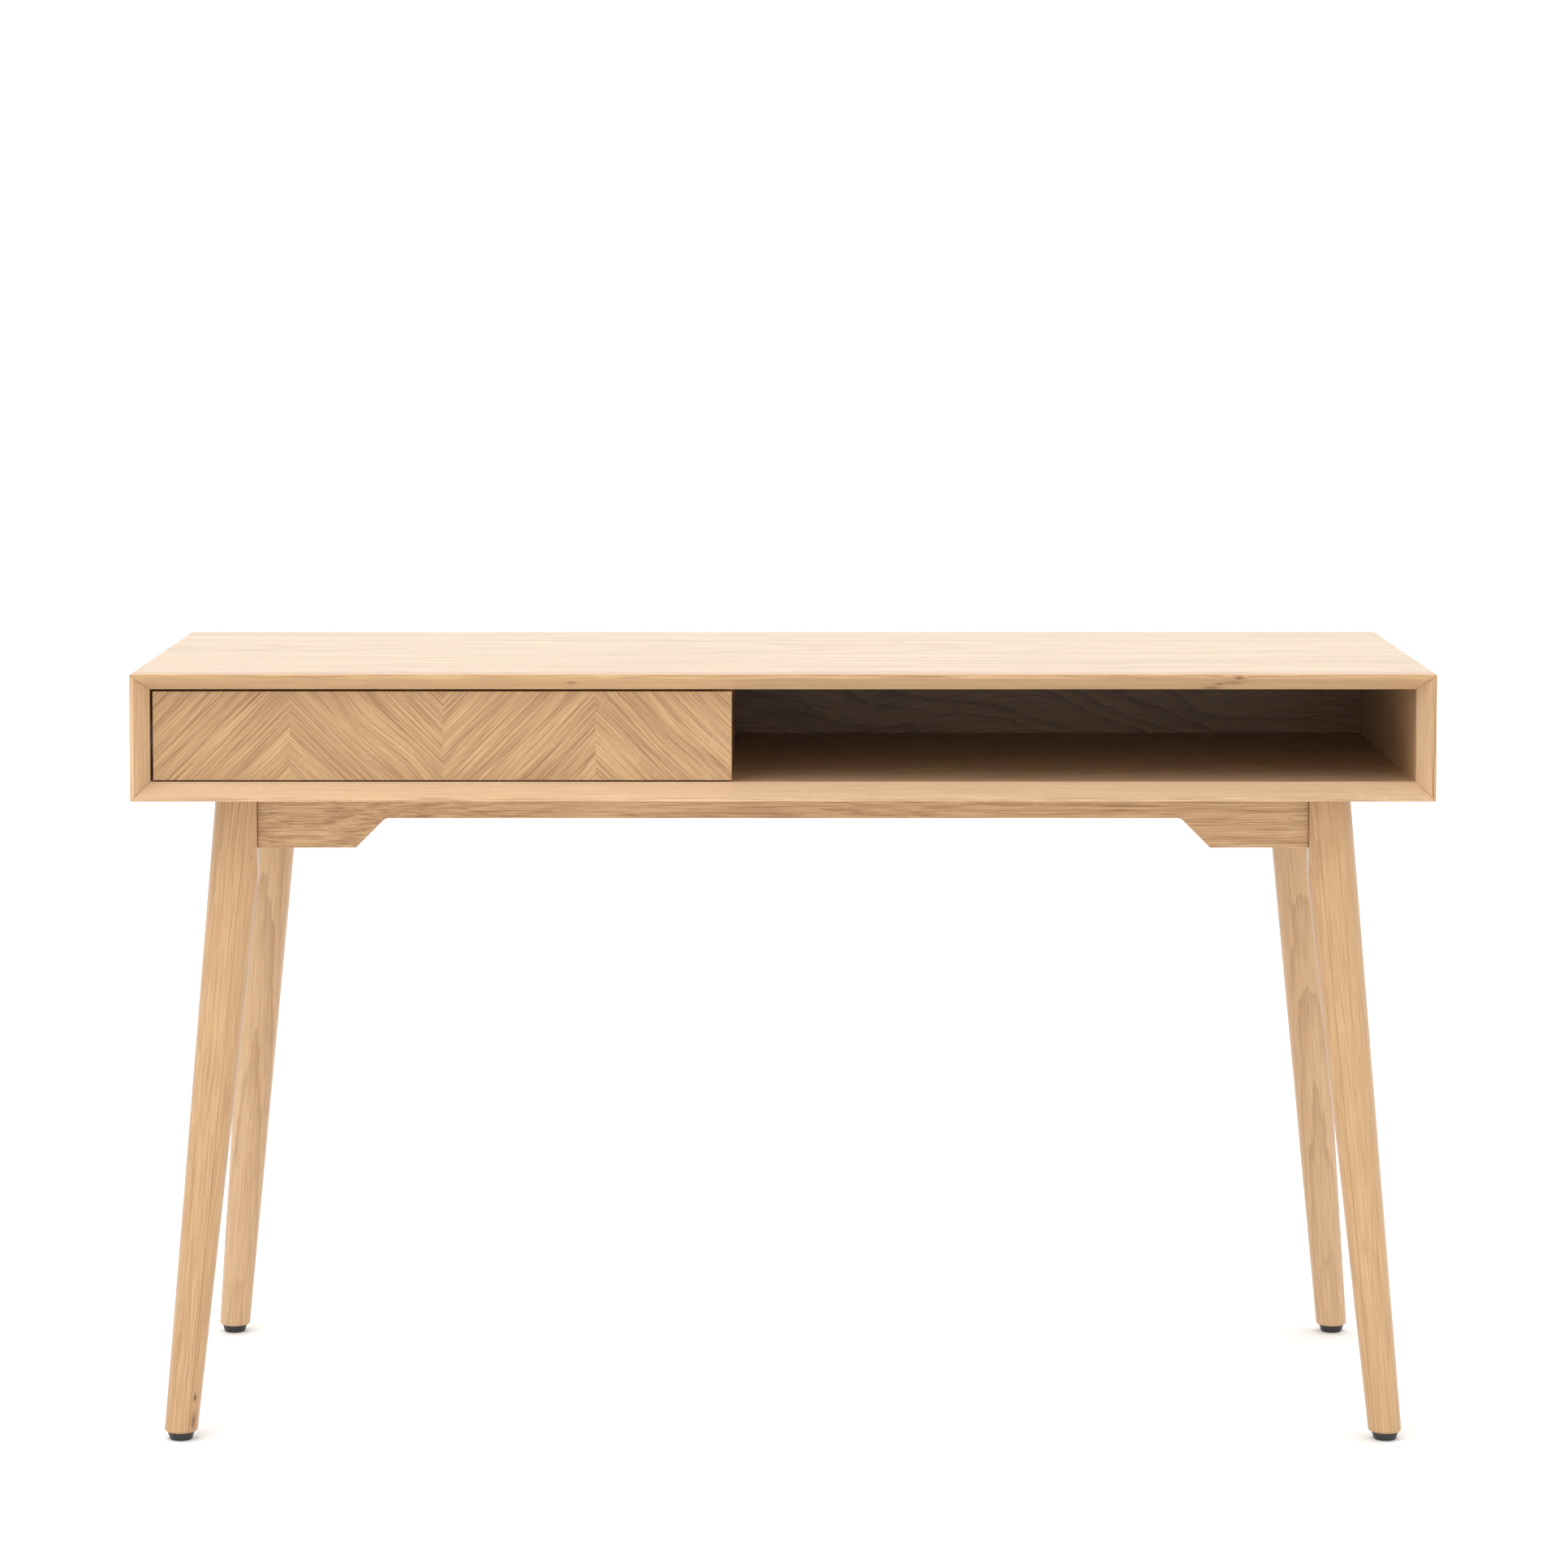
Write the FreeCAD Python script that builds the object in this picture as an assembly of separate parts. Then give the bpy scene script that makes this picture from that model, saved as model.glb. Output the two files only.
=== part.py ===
import FreeCAD, Part
import os
from math import atan2, cos, degrees, pi, sin, sqrt

# Writing desk with one push-open drawer and one open shelf, on a splayed four-leg frame.
# Millimetres. Origin on the floor under the centre of the desk, +Z up, the front faces -Y.

# Case
DESK_WIDTH = 1300.0
DESK_DEPTH = 500.0
DESK_HEIGHT = 775.0
CASE_HEIGHT = 127.0
PANEL = 17.0
EDGE_FLAT = 4.0
BEVEL_DEPTH = 25.0
LIPPING_DEPTH = 30.0
ARRIS = 0.6
BACK_PANEL = 12.0
BACK_RECESS = 3.0
REBATE = 9.0
REBATE_PLAY = 0.5
SPLINE_WIDTH = 14.0
SPLINE_THICKNESS = 3.0
SPLINE_INSET = 10.0
SPLINE_FRONT_STOP = 15.0
SPLINE_REAR_STOP = 10.0

CASE_BOTTOM = DESK_HEIGHT - CASE_HEIGHT
SHELF_FLOOR = CASE_BOTTOM + PANEL
SHELF_CEILING = DESK_HEIGHT - PANEL
HALF_WIDTH = DESK_WIDTH / 2
HALF_DEPTH = DESK_DEPTH / 2
INNER_HALF_WIDTH = HALF_WIDTH - PANEL
CASE_FRONT = -HALF_DEPTH
BEVEL_END = CASE_FRONT + BEVEL_DEPTH
LIPPING_END = CASE_FRONT + LIPPING_DEPTH
BACK_FACE = HALF_DEPTH - BACK_RECESS - BACK_PANEL

# Divider and drawer bay
DIVIDER_RIGHT = -52.0
DIVIDER_LEFT = DIVIDER_RIGHT - PANEL
DIVIDER_FRONT = -204.0
BAY_LEFT = -INNER_HALF_WIDTH
BAY_WIDTH = DIVIDER_LEFT - BAY_LEFT

# Drawer
FRONT_THICKNESS = 18.0
VENEER = 0.6
FRONT_GAP_LEFT = 2.8
FRONT_GAP_TOP = 2.1
FRONT_GAP_BOTTOM = 1.5
FRONT_OVERLAP = 0.7
FRONT_ARRIS = 0.4
LEAF_WIDTH = 152.7
LEAF_SEAMS = 3
FIRST_SEAM = -492.9
FRONT_FACE = BEVEL_END
FRONT_BACK = FRONT_FACE + FRONT_THICKNESS
FRONT_LEFT = BAY_LEFT + FRONT_GAP_LEFT
FRONT_RIGHT = DIVIDER_RIGHT + FRONT_OVERLAP
FRONT_BOTTOM = SHELF_FLOOR + FRONT_GAP_BOTTOM
FRONT_TOP = SHELF_CEILING - FRONT_GAP_TOP
BOX_WALL = 12.0
BOX_LENGTH = 400.0
BOX_BOTTOM = 674.0
BOX_TOP = 742.0
BOX_BASE = 6.0
BOX_BASE_LOW = 682.0
BOX_GROOVE = 6.0
BOX_GROOVE_PLAY = 0.5
BOX_EDGE_RADIUS = 2.0

# Ball-bearing runners
RUNNER_WIDTH = 12.7
RUNNER_HEIGHT = 35.0
RUNNER_Z = 705.0
RUNNER_FRONT = -203.0
RUNNER_LENGTH = 400.0
MIDDLE_LENGTH = 380.0
DRAWER_MEMBER_LENGTH = 396.0
STRIP_LENGTH = 170.0
OUTER_STRIP_FRONT = -98.0
INNER_STRIP_FRONT = -93.0
STEEL = 1.2
MIDDLE_STEEL = 1.0
STRIP_STEEL = 0.5
BALL_DIAMETER = 3.0
BALL_PLAY = 0.25
BALLS_PER_ROW = 8
BALL_ROW_MARGIN = 15.0
BALL_X = 6.6
POCKET_PLAY = 0.05
STRIP_REACH = 2.4
RUNNER_MOUTH = 10.2
RUNNER_LIP = 0.9
MIDDLE_WEB = 2.5
OUTER_STRIP_WEB = 1.6
INNER_STRIP_WEB = 3.9
INNER_MEMBER_START = 4.9
OUTER_HALF = RUNNER_HEIGHT / 2
OUTER_BALL_Z = OUTER_HALF - STEEL - BALL_PLAY - BALL_DIAMETER / 2
MIDDLE_HALF = OUTER_BALL_Z - BALL_DIAMETER / 2 - BALL_PLAY
INNER_BALL_Z = MIDDLE_HALF - MIDDLE_STEEL - BALL_PLAY - BALL_DIAMETER / 2
INNER_HALF = INNER_BALL_Z - BALL_DIAMETER / 2 - BALL_PLAY

BOX_LEFT = BAY_LEFT + RUNNER_WIDTH
BOX_RIGHT = DIVIDER_LEFT - RUNNER_WIDTH
BOX_FRONT = FRONT_BACK
BOX_REAR = BOX_FRONT + BOX_LENGTH

# Push latch
LATCH_X = (BOX_LEFT + BOX_RIGHT) / 2
LATCH_LENGTH = 32.0
LATCH_BODY = 16.0
LATCH_PLATE = 3.0
LATCH_PLATE_WIDTH = 42.0
LATCH_SCREW_INSET = 6.0
LATCH_CORNER_RADIUS = 2.0
LATCH_BORE = 5.0
BORE_FLOOR = 1.0
PLUNGER_RADIUS = 4.7
PLUNGER_LENGTH = 29.0
PLUNGER_TIP_RADIUS = 6.5
PLUNGER_TIP = 3.0
PLUNGER_TIP_EDGE = 1.0
PLUNGER_GAP = 0.3
LATCH_SPRING_RADIUS = 3.6
LATCH_WIRE_RADIUS = 0.35
LATCH_SPRING_TURNS = 4
LATCH_SPRING_PLAY = 0.1

# Leg frame
LEG_TOP_X = 547.4
LEG_TOP_Y = 169.2
LEG_FOOT_X = 607.6
LEG_FOOT_Y = 233.0
LEG_TOP_RADIUS = 26.5
LEG_FOOT_RADIUS = 16.4
LEG_END_RADIUS = 3.0
GLIDE_HEIGHT = 8.0
GLIDE_RIM = 2.6
GLIDE_RIM_STEP = 0.5
GLIDE_TOP_RADIUS = 13.0
GLIDE_FOOT_RADIUS = 11.6
GLIDE_FLAT_RADIUS = 10.4
GLIDE_FOOT_EDGE = 1.2
GLIDE_STEM_RADIUS = 2.5
GLIDE_STEM = 18.0
GLIDE_STEM_TIP = 4.0
RAIL_THICKNESS = 22.0
RAIL_FRONT = 183.0
RAIL_END = 531.0
RAIL_END_HEIGHT = 55.0
RAIL_MIDDLE_HEIGHT = 25.0
RAIL_CUT_LOW = 431.5
RAIL_CUT_RADIUS = 8.0
RAIL_ARRIS = 0.8
RAIL_JOINT_ARRIS = 0.8
SIDE_RAIL_X = 539.0
SIDE_RAIL_END = 152.8
BLOCK_BOTTOM = 603.0
BLOCK_INNER_SUM = 637.0
BLOCK_OUTER_SUM = 680.0
BLOCK_FACE = BLOCK_INNER_SUM / sqrt(2)

# Fasteners. A screw is its length, shank radius, head radius and head depth.
HOLE_PLAY = 0.1
STEEL_HOLE_PLAY = 0.02
DOWEL_RADIUS = 4.0
DOWEL_LENGTH = 30.0
DOWEL_CHAMFER = 0.8
PANEL_DOWEL_DEPTH = 9.0
DIVIDER_DOWEL_YS = (-150.0, 15.0, 180.0)
RAIL_DOWEL_BELOW = 16.0
RAIL_DOWEL_ABOVE = 18.0
BOX_DOWEL_RADIUS = 3.0
BOX_DOWEL_LENGTH = 24.0
BOX_DOWEL_BLIND = 3.0
BOX_DOWEL_BELOW = 12.0
BOX_DOWEL_ABOVE = 18.0
BOLT_RADIUS = 4.0
BOLT_LENGTH = 78.0
BOLT_PROUD = 10.5
BOLT_CHAMFER = 1.0
BOLT_Z = 620.0
BLOCK_HOLE_PLAY = 0.5
NUT_ACROSS_FLATS = 13.0
NUT_HEIGHT = 6.5
NUT_PLAY = 0.05
NUT_CROWN = 0.93
WASHER_RADIUS = 10.0
WASHER_THICKNESS = 1.6
WASHER_PLAY = 0.3
FRAME_SCREW = (27.0, 2.2, 4.3, 2.4)
FRAME_SCREW_COVER = 7.0
FRAME_SCREW_BORE = 4.6
RAIL_SCREW_XS = (-330.0, -110.0, 110.0, 330.0)
BLOCK_SCREW_X = 507.0
BLOCK_SCREW_Y = 151.0
BACK_SCREW = (25.0, 1.75, 3.6, 1.9)
BACK_SCREW_XS = (-560.0, -280.0, 0.0, 280.0, 560.0)
CASE_SCREW = (12.0, 1.75, 3.0, STEEL)
BOX_SCREW = (10.0, 1.75, 3.0, STEEL)
RUNNER_SCREW_STEPS = (37.0, 165.0, 357.0)
FRONT_SCREW = (24.0, 2.0, 3.9, 2.1)
FRONT_SCREW_INSET = 60.0
FRONT_SCREW_ZS = (700.0, 728.0)

FAR = 2000.0


def vector(x, y, z):
    return FreeCAD.Vector(x, y, z)


def box(x0, x1, y0, y1, z0, z1):
    return Part.makeBox(x1 - x0, y1 - y0, z1 - z0, vector(x0, y0, z0))


def prism_along_y(outline, y0, y1):
    points = [vector(x, y0, z) for x, z in outline]
    face = Part.Face(Part.makePolygon(points + points[:1]))
    return face.extrude(vector(0, y1 - y0, 0))


def prism_along_z(outline, z0, z1):
    points = [vector(x, y, z0) for x, y in outline]
    face = Part.Face(Part.makePolygon(points + points[:1]))
    return face.extrude(vector(0, 0, z1 - z0))


def rod(radius, start, end):
    axis = end - start
    return Part.makeCylinder(radius, axis.Length, start, axis)


def placed(shape, point, direction):
    copy = shape.copy()
    copy.Placement = FreeCAD.Placement(point, FreeCAD.Rotation(vector(0, 0, 1), direction))
    return copy


def in_corner(shape, side, end):
    """A shape drawn in the right rear corner, mirrored into the corner given by two signs."""
    if side < 0:
        shape = shape.mirror(vector(0, 0, 0), vector(1, 0, 0))
    if end < 0:
        shape = shape.mirror(vector(0, 0, 0), vector(0, 1, 0))
    return shape


def cut_all(shape, tools):
    return shape.cut(Part.makeCompound(tools)) if tools else shape


def edges_where(shape, test):
    return [edge for edge in shape.Edges if test(edge)]


CORNERS = {
    "front_left": (-1, -1),
    "front_right": (1, -1),
    "rear_left": (-1, 1),
    "rear_right": (1, 1),
}


# ---------------------------------------------------------------- fasteners

def wood_screw(size, play=0.0):
    """Countersunk screw pointing along +Z, its head's face at the origin."""
    length, radius, head_radius, head_depth = size
    tip = 2.5 * radius
    head = Part.makeCone(head_radius + play, radius + play, head_depth)
    shank = Part.makeCylinder(radius + play, length - tip, vector(0, 0, 0))
    point = Part.makeCone(radius + play, 0.25 * radius, tip + play, vector(0, 0, length - tip))
    screw = head.fuse([shank, point])
    if play:
        return screw
    slot = 0.5 * head_radius
    recess_depth = 0.7 * head_depth
    recess = box(-slot, slot, -0.3 * radius, 0.3 * radius, 0, recess_depth)
    recess = recess.fuse(box(-0.3 * radius, 0.3 * radius, -slot, slot, 0, recess_depth))
    return screw.cut(recess).removeSplitter()


def frame_screw_places():
    """Points where the leg frame is screwed up into the case, with the screw head's face."""
    seat = SHELF_FLOOR - FRAME_SCREW_COVER - FRAME_SCREW[0]
    rail_y = RAIL_FRONT - RAIL_THICKNESS / 2
    places = [vector(x, end * rail_y, seat) for end in (-1, 1) for x in RAIL_SCREW_XS]
    for side, end in CORNERS.values():
        places.append(vector(side * BLOCK_SCREW_X, end * BLOCK_SCREW_Y, seat))
    return places


def frame_screws():
    screw = wood_screw(FRAME_SCREW)
    return Part.makeCompound([placed(screw, p, vector(0, 0, 1)) for p in frame_screw_places()])


def frame_screw_holes():
    hole = wood_screw(FRAME_SCREW, HOLE_PLAY)
    holes = []
    for p in frame_screw_places():
        holes.append(placed(hole, p, vector(0, 0, 1)))
        below = vector(p.x, p.y, CASE_BOTTOM - 2 * RAIL_END_HEIGHT)
        holes.append(rod(FRAME_SCREW_BORE, below, p))
    return holes


def back_screw_places():
    lap = REBATE / 2
    low = SHELF_FLOOR - lap
    high = SHELF_CEILING + lap
    middle = (low + high) / 2
    rows = [(x, z) for z in (low, high) for x in BACK_SCREW_XS]
    rows += [(side * (INNER_HALF_WIDTH + lap), middle) for side in (-1, 1)]
    return [vector(x, BACK_FACE + BACK_PANEL, z) for x, z in rows]


def back_panel_screws(play=0.0):
    screw = wood_screw(BACK_SCREW, play)
    return Part.makeCompound([placed(screw, p, vector(0, -1, 0)) for p in back_screw_places()])


def runner_screw_spots():
    return [RUNNER_FRONT + step for step in RUNNER_SCREW_STEPS]


def small_case_screws(play=0.0):
    """Screws of the cabinet members and of the latch: one size."""
    screw = wood_screw(CASE_SCREW, play)
    screws = []
    for y in runner_screw_spots():
        screws.append(placed(screw, vector(BAY_LEFT + STEEL, y, RUNNER_Z), vector(-1, 0, 0)))
        screws.append(placed(screw, vector(DIVIDER_LEFT - STEEL, y, RUNNER_Z), vector(1, 0, 0)))
    spread = LATCH_PLATE_WIDTH / 2 - LATCH_SCREW_INSET
    for x in (LATCH_X - spread, LATCH_X + spread):
        face = vector(x, BACK_FACE - LATCH_PLATE, RUNNER_Z)
        screws.append(placed(screw, face, vector(0, 1, 0)))
    return Part.makeCompound(screws)


def runner_drawer_screws(play=0.0):
    screw = wood_screw(BOX_SCREW, play)
    screws = []
    for y in runner_screw_spots():
        screws.append(placed(screw, vector(BOX_LEFT - STEEL, y, RUNNER_Z), vector(1, 0, 0)))
        screws.append(placed(screw, vector(BOX_RIGHT + STEEL, y, RUNNER_Z), vector(-1, 0, 0)))
    return Part.makeCompound(screws)


def drawer_front_screws(play=0.0):
    screw = wood_screw(FRONT_SCREW, play)
    inner_face = BOX_FRONT + BOX_WALL
    screws = []
    for x in (BOX_LEFT + FRONT_SCREW_INSET, LATCH_X, BOX_RIGHT - FRONT_SCREW_INSET):
        for z in FRONT_SCREW_ZS:
            screws.append(placed(screw, vector(x, inner_face, z), vector(0, -1, 0)))
    return Part.makeCompound(screws)


def dowel(radius, length, start, direction, play=0.0):
    unit = FreeCAD.Vector(direction).normalize()
    if play:
        end_play = 5 * play
        return rod(radius + play, start - unit * end_play, start + unit * (length + end_play))
    body = rod(radius, start, start + unit * length)
    return body.makeChamfer(DOWEL_CHAMFER, edges_where(body, lambda edge: edge.Closed))


def case_dowels(play=0.0):
    """Dowels of one size: the divider's, and two in each end of each rail."""
    dowels = []
    divider_x = (DIVIDER_LEFT + DIVIDER_RIGHT) / 2
    for y in DIVIDER_DOWEL_YS:
        low = vector(divider_x, y, SHELF_FLOOR - PANEL_DOWEL_DEPTH)
        high = vector(divider_x, y, SHELF_CEILING + PANEL_DOWEL_DEPTH)
        dowels.append(dowel(DOWEL_RADIUS, DOWEL_LENGTH, low, vector(0, 0, 1), play))
        dowels.append(dowel(DOWEL_RADIUS, DOWEL_LENGTH, high, vector(0, 0, -1), play))
    half = DOWEL_LENGTH / 2
    rail_y = RAIL_FRONT - RAIL_THICKNESS / 2
    side_x = SIDE_RAIL_X + RAIL_THICKNESS / 2
    for side, end in CORNERS.values():
        for z in (BOLT_Z - RAIL_DOWEL_BELOW, BOLT_Z + RAIL_DOWEL_ABOVE):
            front = vector(side * (RAIL_END - half), end * rail_y, z)
            dowels.append(dowel(DOWEL_RADIUS, DOWEL_LENGTH, front, vector(side, 0, 0), play))
            flank = vector(side * side_x, end * (SIDE_RAIL_END - half), z)
            dowels.append(dowel(DOWEL_RADIUS, DOWEL_LENGTH, flank, vector(0, end, 0), play))
    return Part.makeCompound(dowels)


def drawer_dowels(play=0.0):
    """Dowels through the drawer's side walls into its front and back walls."""
    dowels = []
    ends = (BOX_FRONT + BOX_WALL / 2, BOX_REAR - BOX_WALL / 2)
    for y in ends:
        for z in (BOX_BASE_LOW + BOX_DOWEL_ABOVE, BOX_TOP - BOX_DOWEL_BELOW):
            left = vector(BOX_LEFT + BOX_DOWEL_BLIND, y, z)
            right = vector(BOX_RIGHT - BOX_DOWEL_BLIND, y, z)
            dowels.append(dowel(BOX_DOWEL_RADIUS, BOX_DOWEL_LENGTH, left, vector(1, 0, 0), play))
            dowels.append(dowel(BOX_DOWEL_RADIUS, BOX_DOWEL_LENGTH, right, vector(-1, 0, 0), play))
    return Part.makeCompound(dowels)


# ---------------------------------------------------------------- case

def case_ring():
    """The four case panels as one ring, with its bevelled front and its rear rebate."""
    ring = box(-HALF_WIDTH, HALF_WIDTH, -HALF_DEPTH, HALF_DEPTH, CASE_BOTTOM, DESK_HEIGHT)
    ring = ring.makeChamfer(ARRIS, ring.Edges)
    hollow = box(-INNER_HALF_WIDTH, INNER_HALF_WIDTH, -FAR, FAR, SHELF_FLOOR, SHELF_CEILING)
    mouth = []
    reach = PANEL - EDGE_FLAT
    for y, out in ((BEVEL_END, 0.0), (CASE_FRONT, reach)):
        x = INNER_HALF_WIDTH + out
        low = SHELF_FLOOR - out
        high = SHELF_CEILING + out
        corners = [vector(-x, y, low), vector(x, y, low), vector(x, y, high), vector(-x, y, high)]
        mouth.append(Part.makePolygon(corners + corners[:1]))
    bevel = Part.makeLoft(mouth, True, True)
    x = INNER_HALF_WIDTH + REBATE
    rebate = box(-x, x, BACK_FACE, FAR, SHELF_FLOOR - REBATE, SHELF_CEILING + REBATE)
    return ring.cut([hollow, bevel, rebate])


def mitre_region(name):
    """The part of space that one case panel takes, bounded by its two mitre planes."""
    out = 5.0
    deep = 50.0
    left = -HALF_WIDTH - out
    right = HALF_WIDTH + out
    top = DESK_HEIGHT + out
    bottom = CASE_BOTTOM - out
    inner_left = -HALF_WIDTH + deep
    inner_right = HALF_WIDTH - deep
    inner_top = DESK_HEIGHT - deep
    inner_bottom = CASE_BOTTOM + deep
    outlines = {
        "top": [(left, top), (right, top), (inner_right, inner_top), (inner_left, inner_top)],
        "bottom": [(left, bottom), (inner_left, inner_bottom), (inner_right, inner_bottom), (right, bottom)],
        "left_side": [(left, top), (inner_left, inner_top), (inner_left, inner_bottom), (left, bottom)],
        "right_side": [(right, top), (right, bottom), (inner_right, inner_bottom), (inner_right, inner_top)],
    }
    return prism_along_y(outlines[name], -FAR, FAR)


def mitre_splines():
    """One plywood tongue across each mitre, stopped short of both ends."""
    splines = []
    half_width = SPLINE_WIDTH / 2
    half_thickness = SPLINE_THICKNESS / 2
    front = LIPPING_END + SPLINE_FRONT_STOP
    rear = BACK_FACE - SPLINE_REAR_STOP
    for side in (-1, 1):
        for level in (-1, 1):
            spline = box(-half_width, half_width, front, rear, -half_thickness, half_thickness)
            spline.rotate(vector(0, 0, 0), vector(0, 1, 0), -45.0 * side * level)
            centre_z = DESK_HEIGHT - SPLINE_INSET if level > 0 else CASE_BOTTOM + SPLINE_INSET
            spline.translate(vector(side * (HALF_WIDTH - SPLINE_INSET), 0, centre_z))
            splines.append(spline)
    return Part.makeCompound(splines)


def case_panels():
    ring = case_ring()
    front = box(-FAR, FAR, -FAR, LIPPING_END, -FAR, FAR)
    fixings = [mitre_splines(), case_dowels(HOLE_PLAY), back_panel_screws(HOLE_PLAY)]
    fixings += [small_case_screws(HOLE_PLAY), Part.makeCompound(frame_screw_holes())]
    pieces = {}
    for name in ("top", "bottom", "left_side", "right_side"):
        sector = ring.common(mitre_region(name))
        pieces[name + "_lipping"] = sector.common(front)
        pieces[name + "_panel"] = cut_all(sector.cut(front), fixings)
    return pieces


def back_panel():
    x = INNER_HALF_WIDTH + REBATE - REBATE_PLAY
    low = SHELF_FLOOR - REBATE + REBATE_PLAY
    high = SHELF_CEILING + REBATE - REBATE_PLAY
    panel = box(-x, x, BACK_FACE, BACK_FACE + BACK_PANEL, low, high)
    return cut_all(panel, [back_panel_screws(HOLE_PLAY), small_case_screws(HOLE_PLAY)])


def divider_panel():
    panel = box(DIVIDER_LEFT, DIVIDER_RIGHT, DIVIDER_FRONT, BACK_FACE, SHELF_FLOOR, SHELF_CEILING)
    return cut_all(panel, [case_dowels(HOLE_PLAY), small_case_screws(HOLE_PLAY)])


# ---------------------------------------------------------------- leg frame

def leg_axis(z):
    lean = (CASE_BOTTOM - z) / CASE_BOTTOM
    x = LEG_TOP_X + (LEG_FOOT_X - LEG_TOP_X) * lean
    y = LEG_TOP_Y + (LEG_FOOT_Y - LEG_TOP_Y) * lean
    return vector(x, y, z)


def leg():
    """Tapered round leg of the right rear corner, flat where the two rails butt against it."""
    above = 60.0
    below = -60.0
    start = leg_axis(CASE_BOTTOM + above)
    end = leg_axis(below)
    taper = (LEG_TOP_RADIUS - LEG_FOOT_RADIUS) / CASE_BOTTOM
    top_radius = LEG_TOP_RADIUS + taper * above
    foot_radius = LEG_FOOT_RADIUS + taper * below
    axis = end - start
    body = Part.makeCone(top_radius, foot_radius, axis.Length, start, axis)
    body = body.common(box(0, FAR, 0, FAR, GLIDE_HEIGHT, CASE_BOTTOM))
    rim = edges_where(body, lambda edge: edge.BoundBox.ZMax < GLIDE_HEIGHT + 0.1)
    body = body.makeFillet(LEG_END_RADIUS, rim)
    inside = box(-FAR, RAIL_END, -FAR, FAR, 0, FAR)
    flank = box(-FAR, FAR, -FAR, SIDE_RAIL_END, 0, FAR)
    return body.cut([inside, flank])


def glide():
    """Turned plastic glide with a stem, under the right rear leg."""
    foot = leg_axis(GLIDE_HEIGHT)
    rim_low = GLIDE_HEIGHT - GLIDE_RIM
    outline = [
        (0, 0),
        (GLIDE_FLAT_RADIUS, 0),
        (GLIDE_FOOT_RADIUS, GLIDE_FOOT_EDGE),
        (GLIDE_TOP_RADIUS - GLIDE_RIM_STEP, rim_low),
        (GLIDE_TOP_RADIUS, rim_low),
        (GLIDE_TOP_RADIUS, GLIDE_HEIGHT),
        (GLIDE_STEM_RADIUS, GLIDE_HEIGHT),
        (GLIDE_STEM_RADIUS, GLIDE_HEIGHT + GLIDE_STEM - GLIDE_STEM_TIP),
        (0, GLIDE_HEIGHT + GLIDE_STEM),
    ]
    points = [vector(foot.x + r, foot.y, z) for r, z in outline]
    face = Part.Face(Part.makePolygon(points + points[:1]))
    return face.revolve(vector(foot.x, foot.y, 0), vector(0, 0, 1), 360)


def glide_hole():
    foot = leg_axis(GLIDE_HEIGHT)
    top = foot + vector(0, 0, GLIDE_STEM + 1)
    return rod(GLIDE_STEM_RADIUS + HOLE_PLAY, foot - vector(0, 0, 1), top)


def diagonal_point(distance, z):
    """A point on the hanger bolt's line, by its distance from the desk's own axis side."""
    top = leg_axis(BOLT_Z)
    offset = top.x - top.y
    total = distance * sqrt(2)
    return vector((total + offset) / 2, (total - offset) / 2, z)


def hanger_bolt(play=0.0):
    start = diagonal_point(BLOCK_FACE - BOLT_PROUD, BOLT_Z)
    end = diagonal_point(BLOCK_FACE - BOLT_PROUD + BOLT_LENGTH, BOLT_Z)
    bolt = rod(BOLT_RADIUS + play, start, end)
    if play:
        return bolt
    return bolt.makeChamfer(BOLT_CHAMFER, edges_where(bolt, lambda edge: edge.Closed))


def hanger_washer():
    face = diagonal_point(BLOCK_FACE, BOLT_Z)
    front = diagonal_point(BLOCK_FACE - WASHER_THICKNESS, BOLT_Z)
    return rod(WASHER_RADIUS, front, face).cut(rod(BOLT_RADIUS + WASHER_PLAY, front, face))


def hanger_nut():
    seat = diagonal_point(BLOCK_FACE - WASHER_THICKNESS, BOLT_Z)
    front = diagonal_point(BLOCK_FACE - WASHER_THICKNESS - NUT_HEIGHT, BOLT_Z)
    radius = NUT_ACROSS_FLATS / sqrt(3)
    corners = [(radius * cos(k * pi / 3), radius * sin(k * pi / 3)) for k in range(6)]
    hexagon = placed(prism_along_z(corners, 0, NUT_HEIGHT), front, seat - front)
    crown = NUT_CROWN * radius
    spread = 2 * NUT_HEIGHT
    dome = Part.makeCone(crown, crown + spread, spread, front, seat - front)
    return hexagon.common(dome).cut(rod(BOLT_RADIUS + NUT_PLAY, front, seat))


def corner_block():
    rail_back = RAIL_FRONT - RAIL_THICKNESS
    outline = [
        (BLOCK_INNER_SUM - rail_back, rail_back),
        (BLOCK_OUTER_SUM - rail_back, rail_back),
        (SIDE_RAIL_X, BLOCK_OUTER_SUM - SIDE_RAIL_X),
        (SIDE_RAIL_X, BLOCK_INNER_SUM - SIDE_RAIL_X),
    ]
    block = prism_along_z(outline, BLOCK_BOTTOM, CASE_BOTTOM)
    return block.cut(hanger_bolt(BLOCK_HOLE_PLAY))


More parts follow.
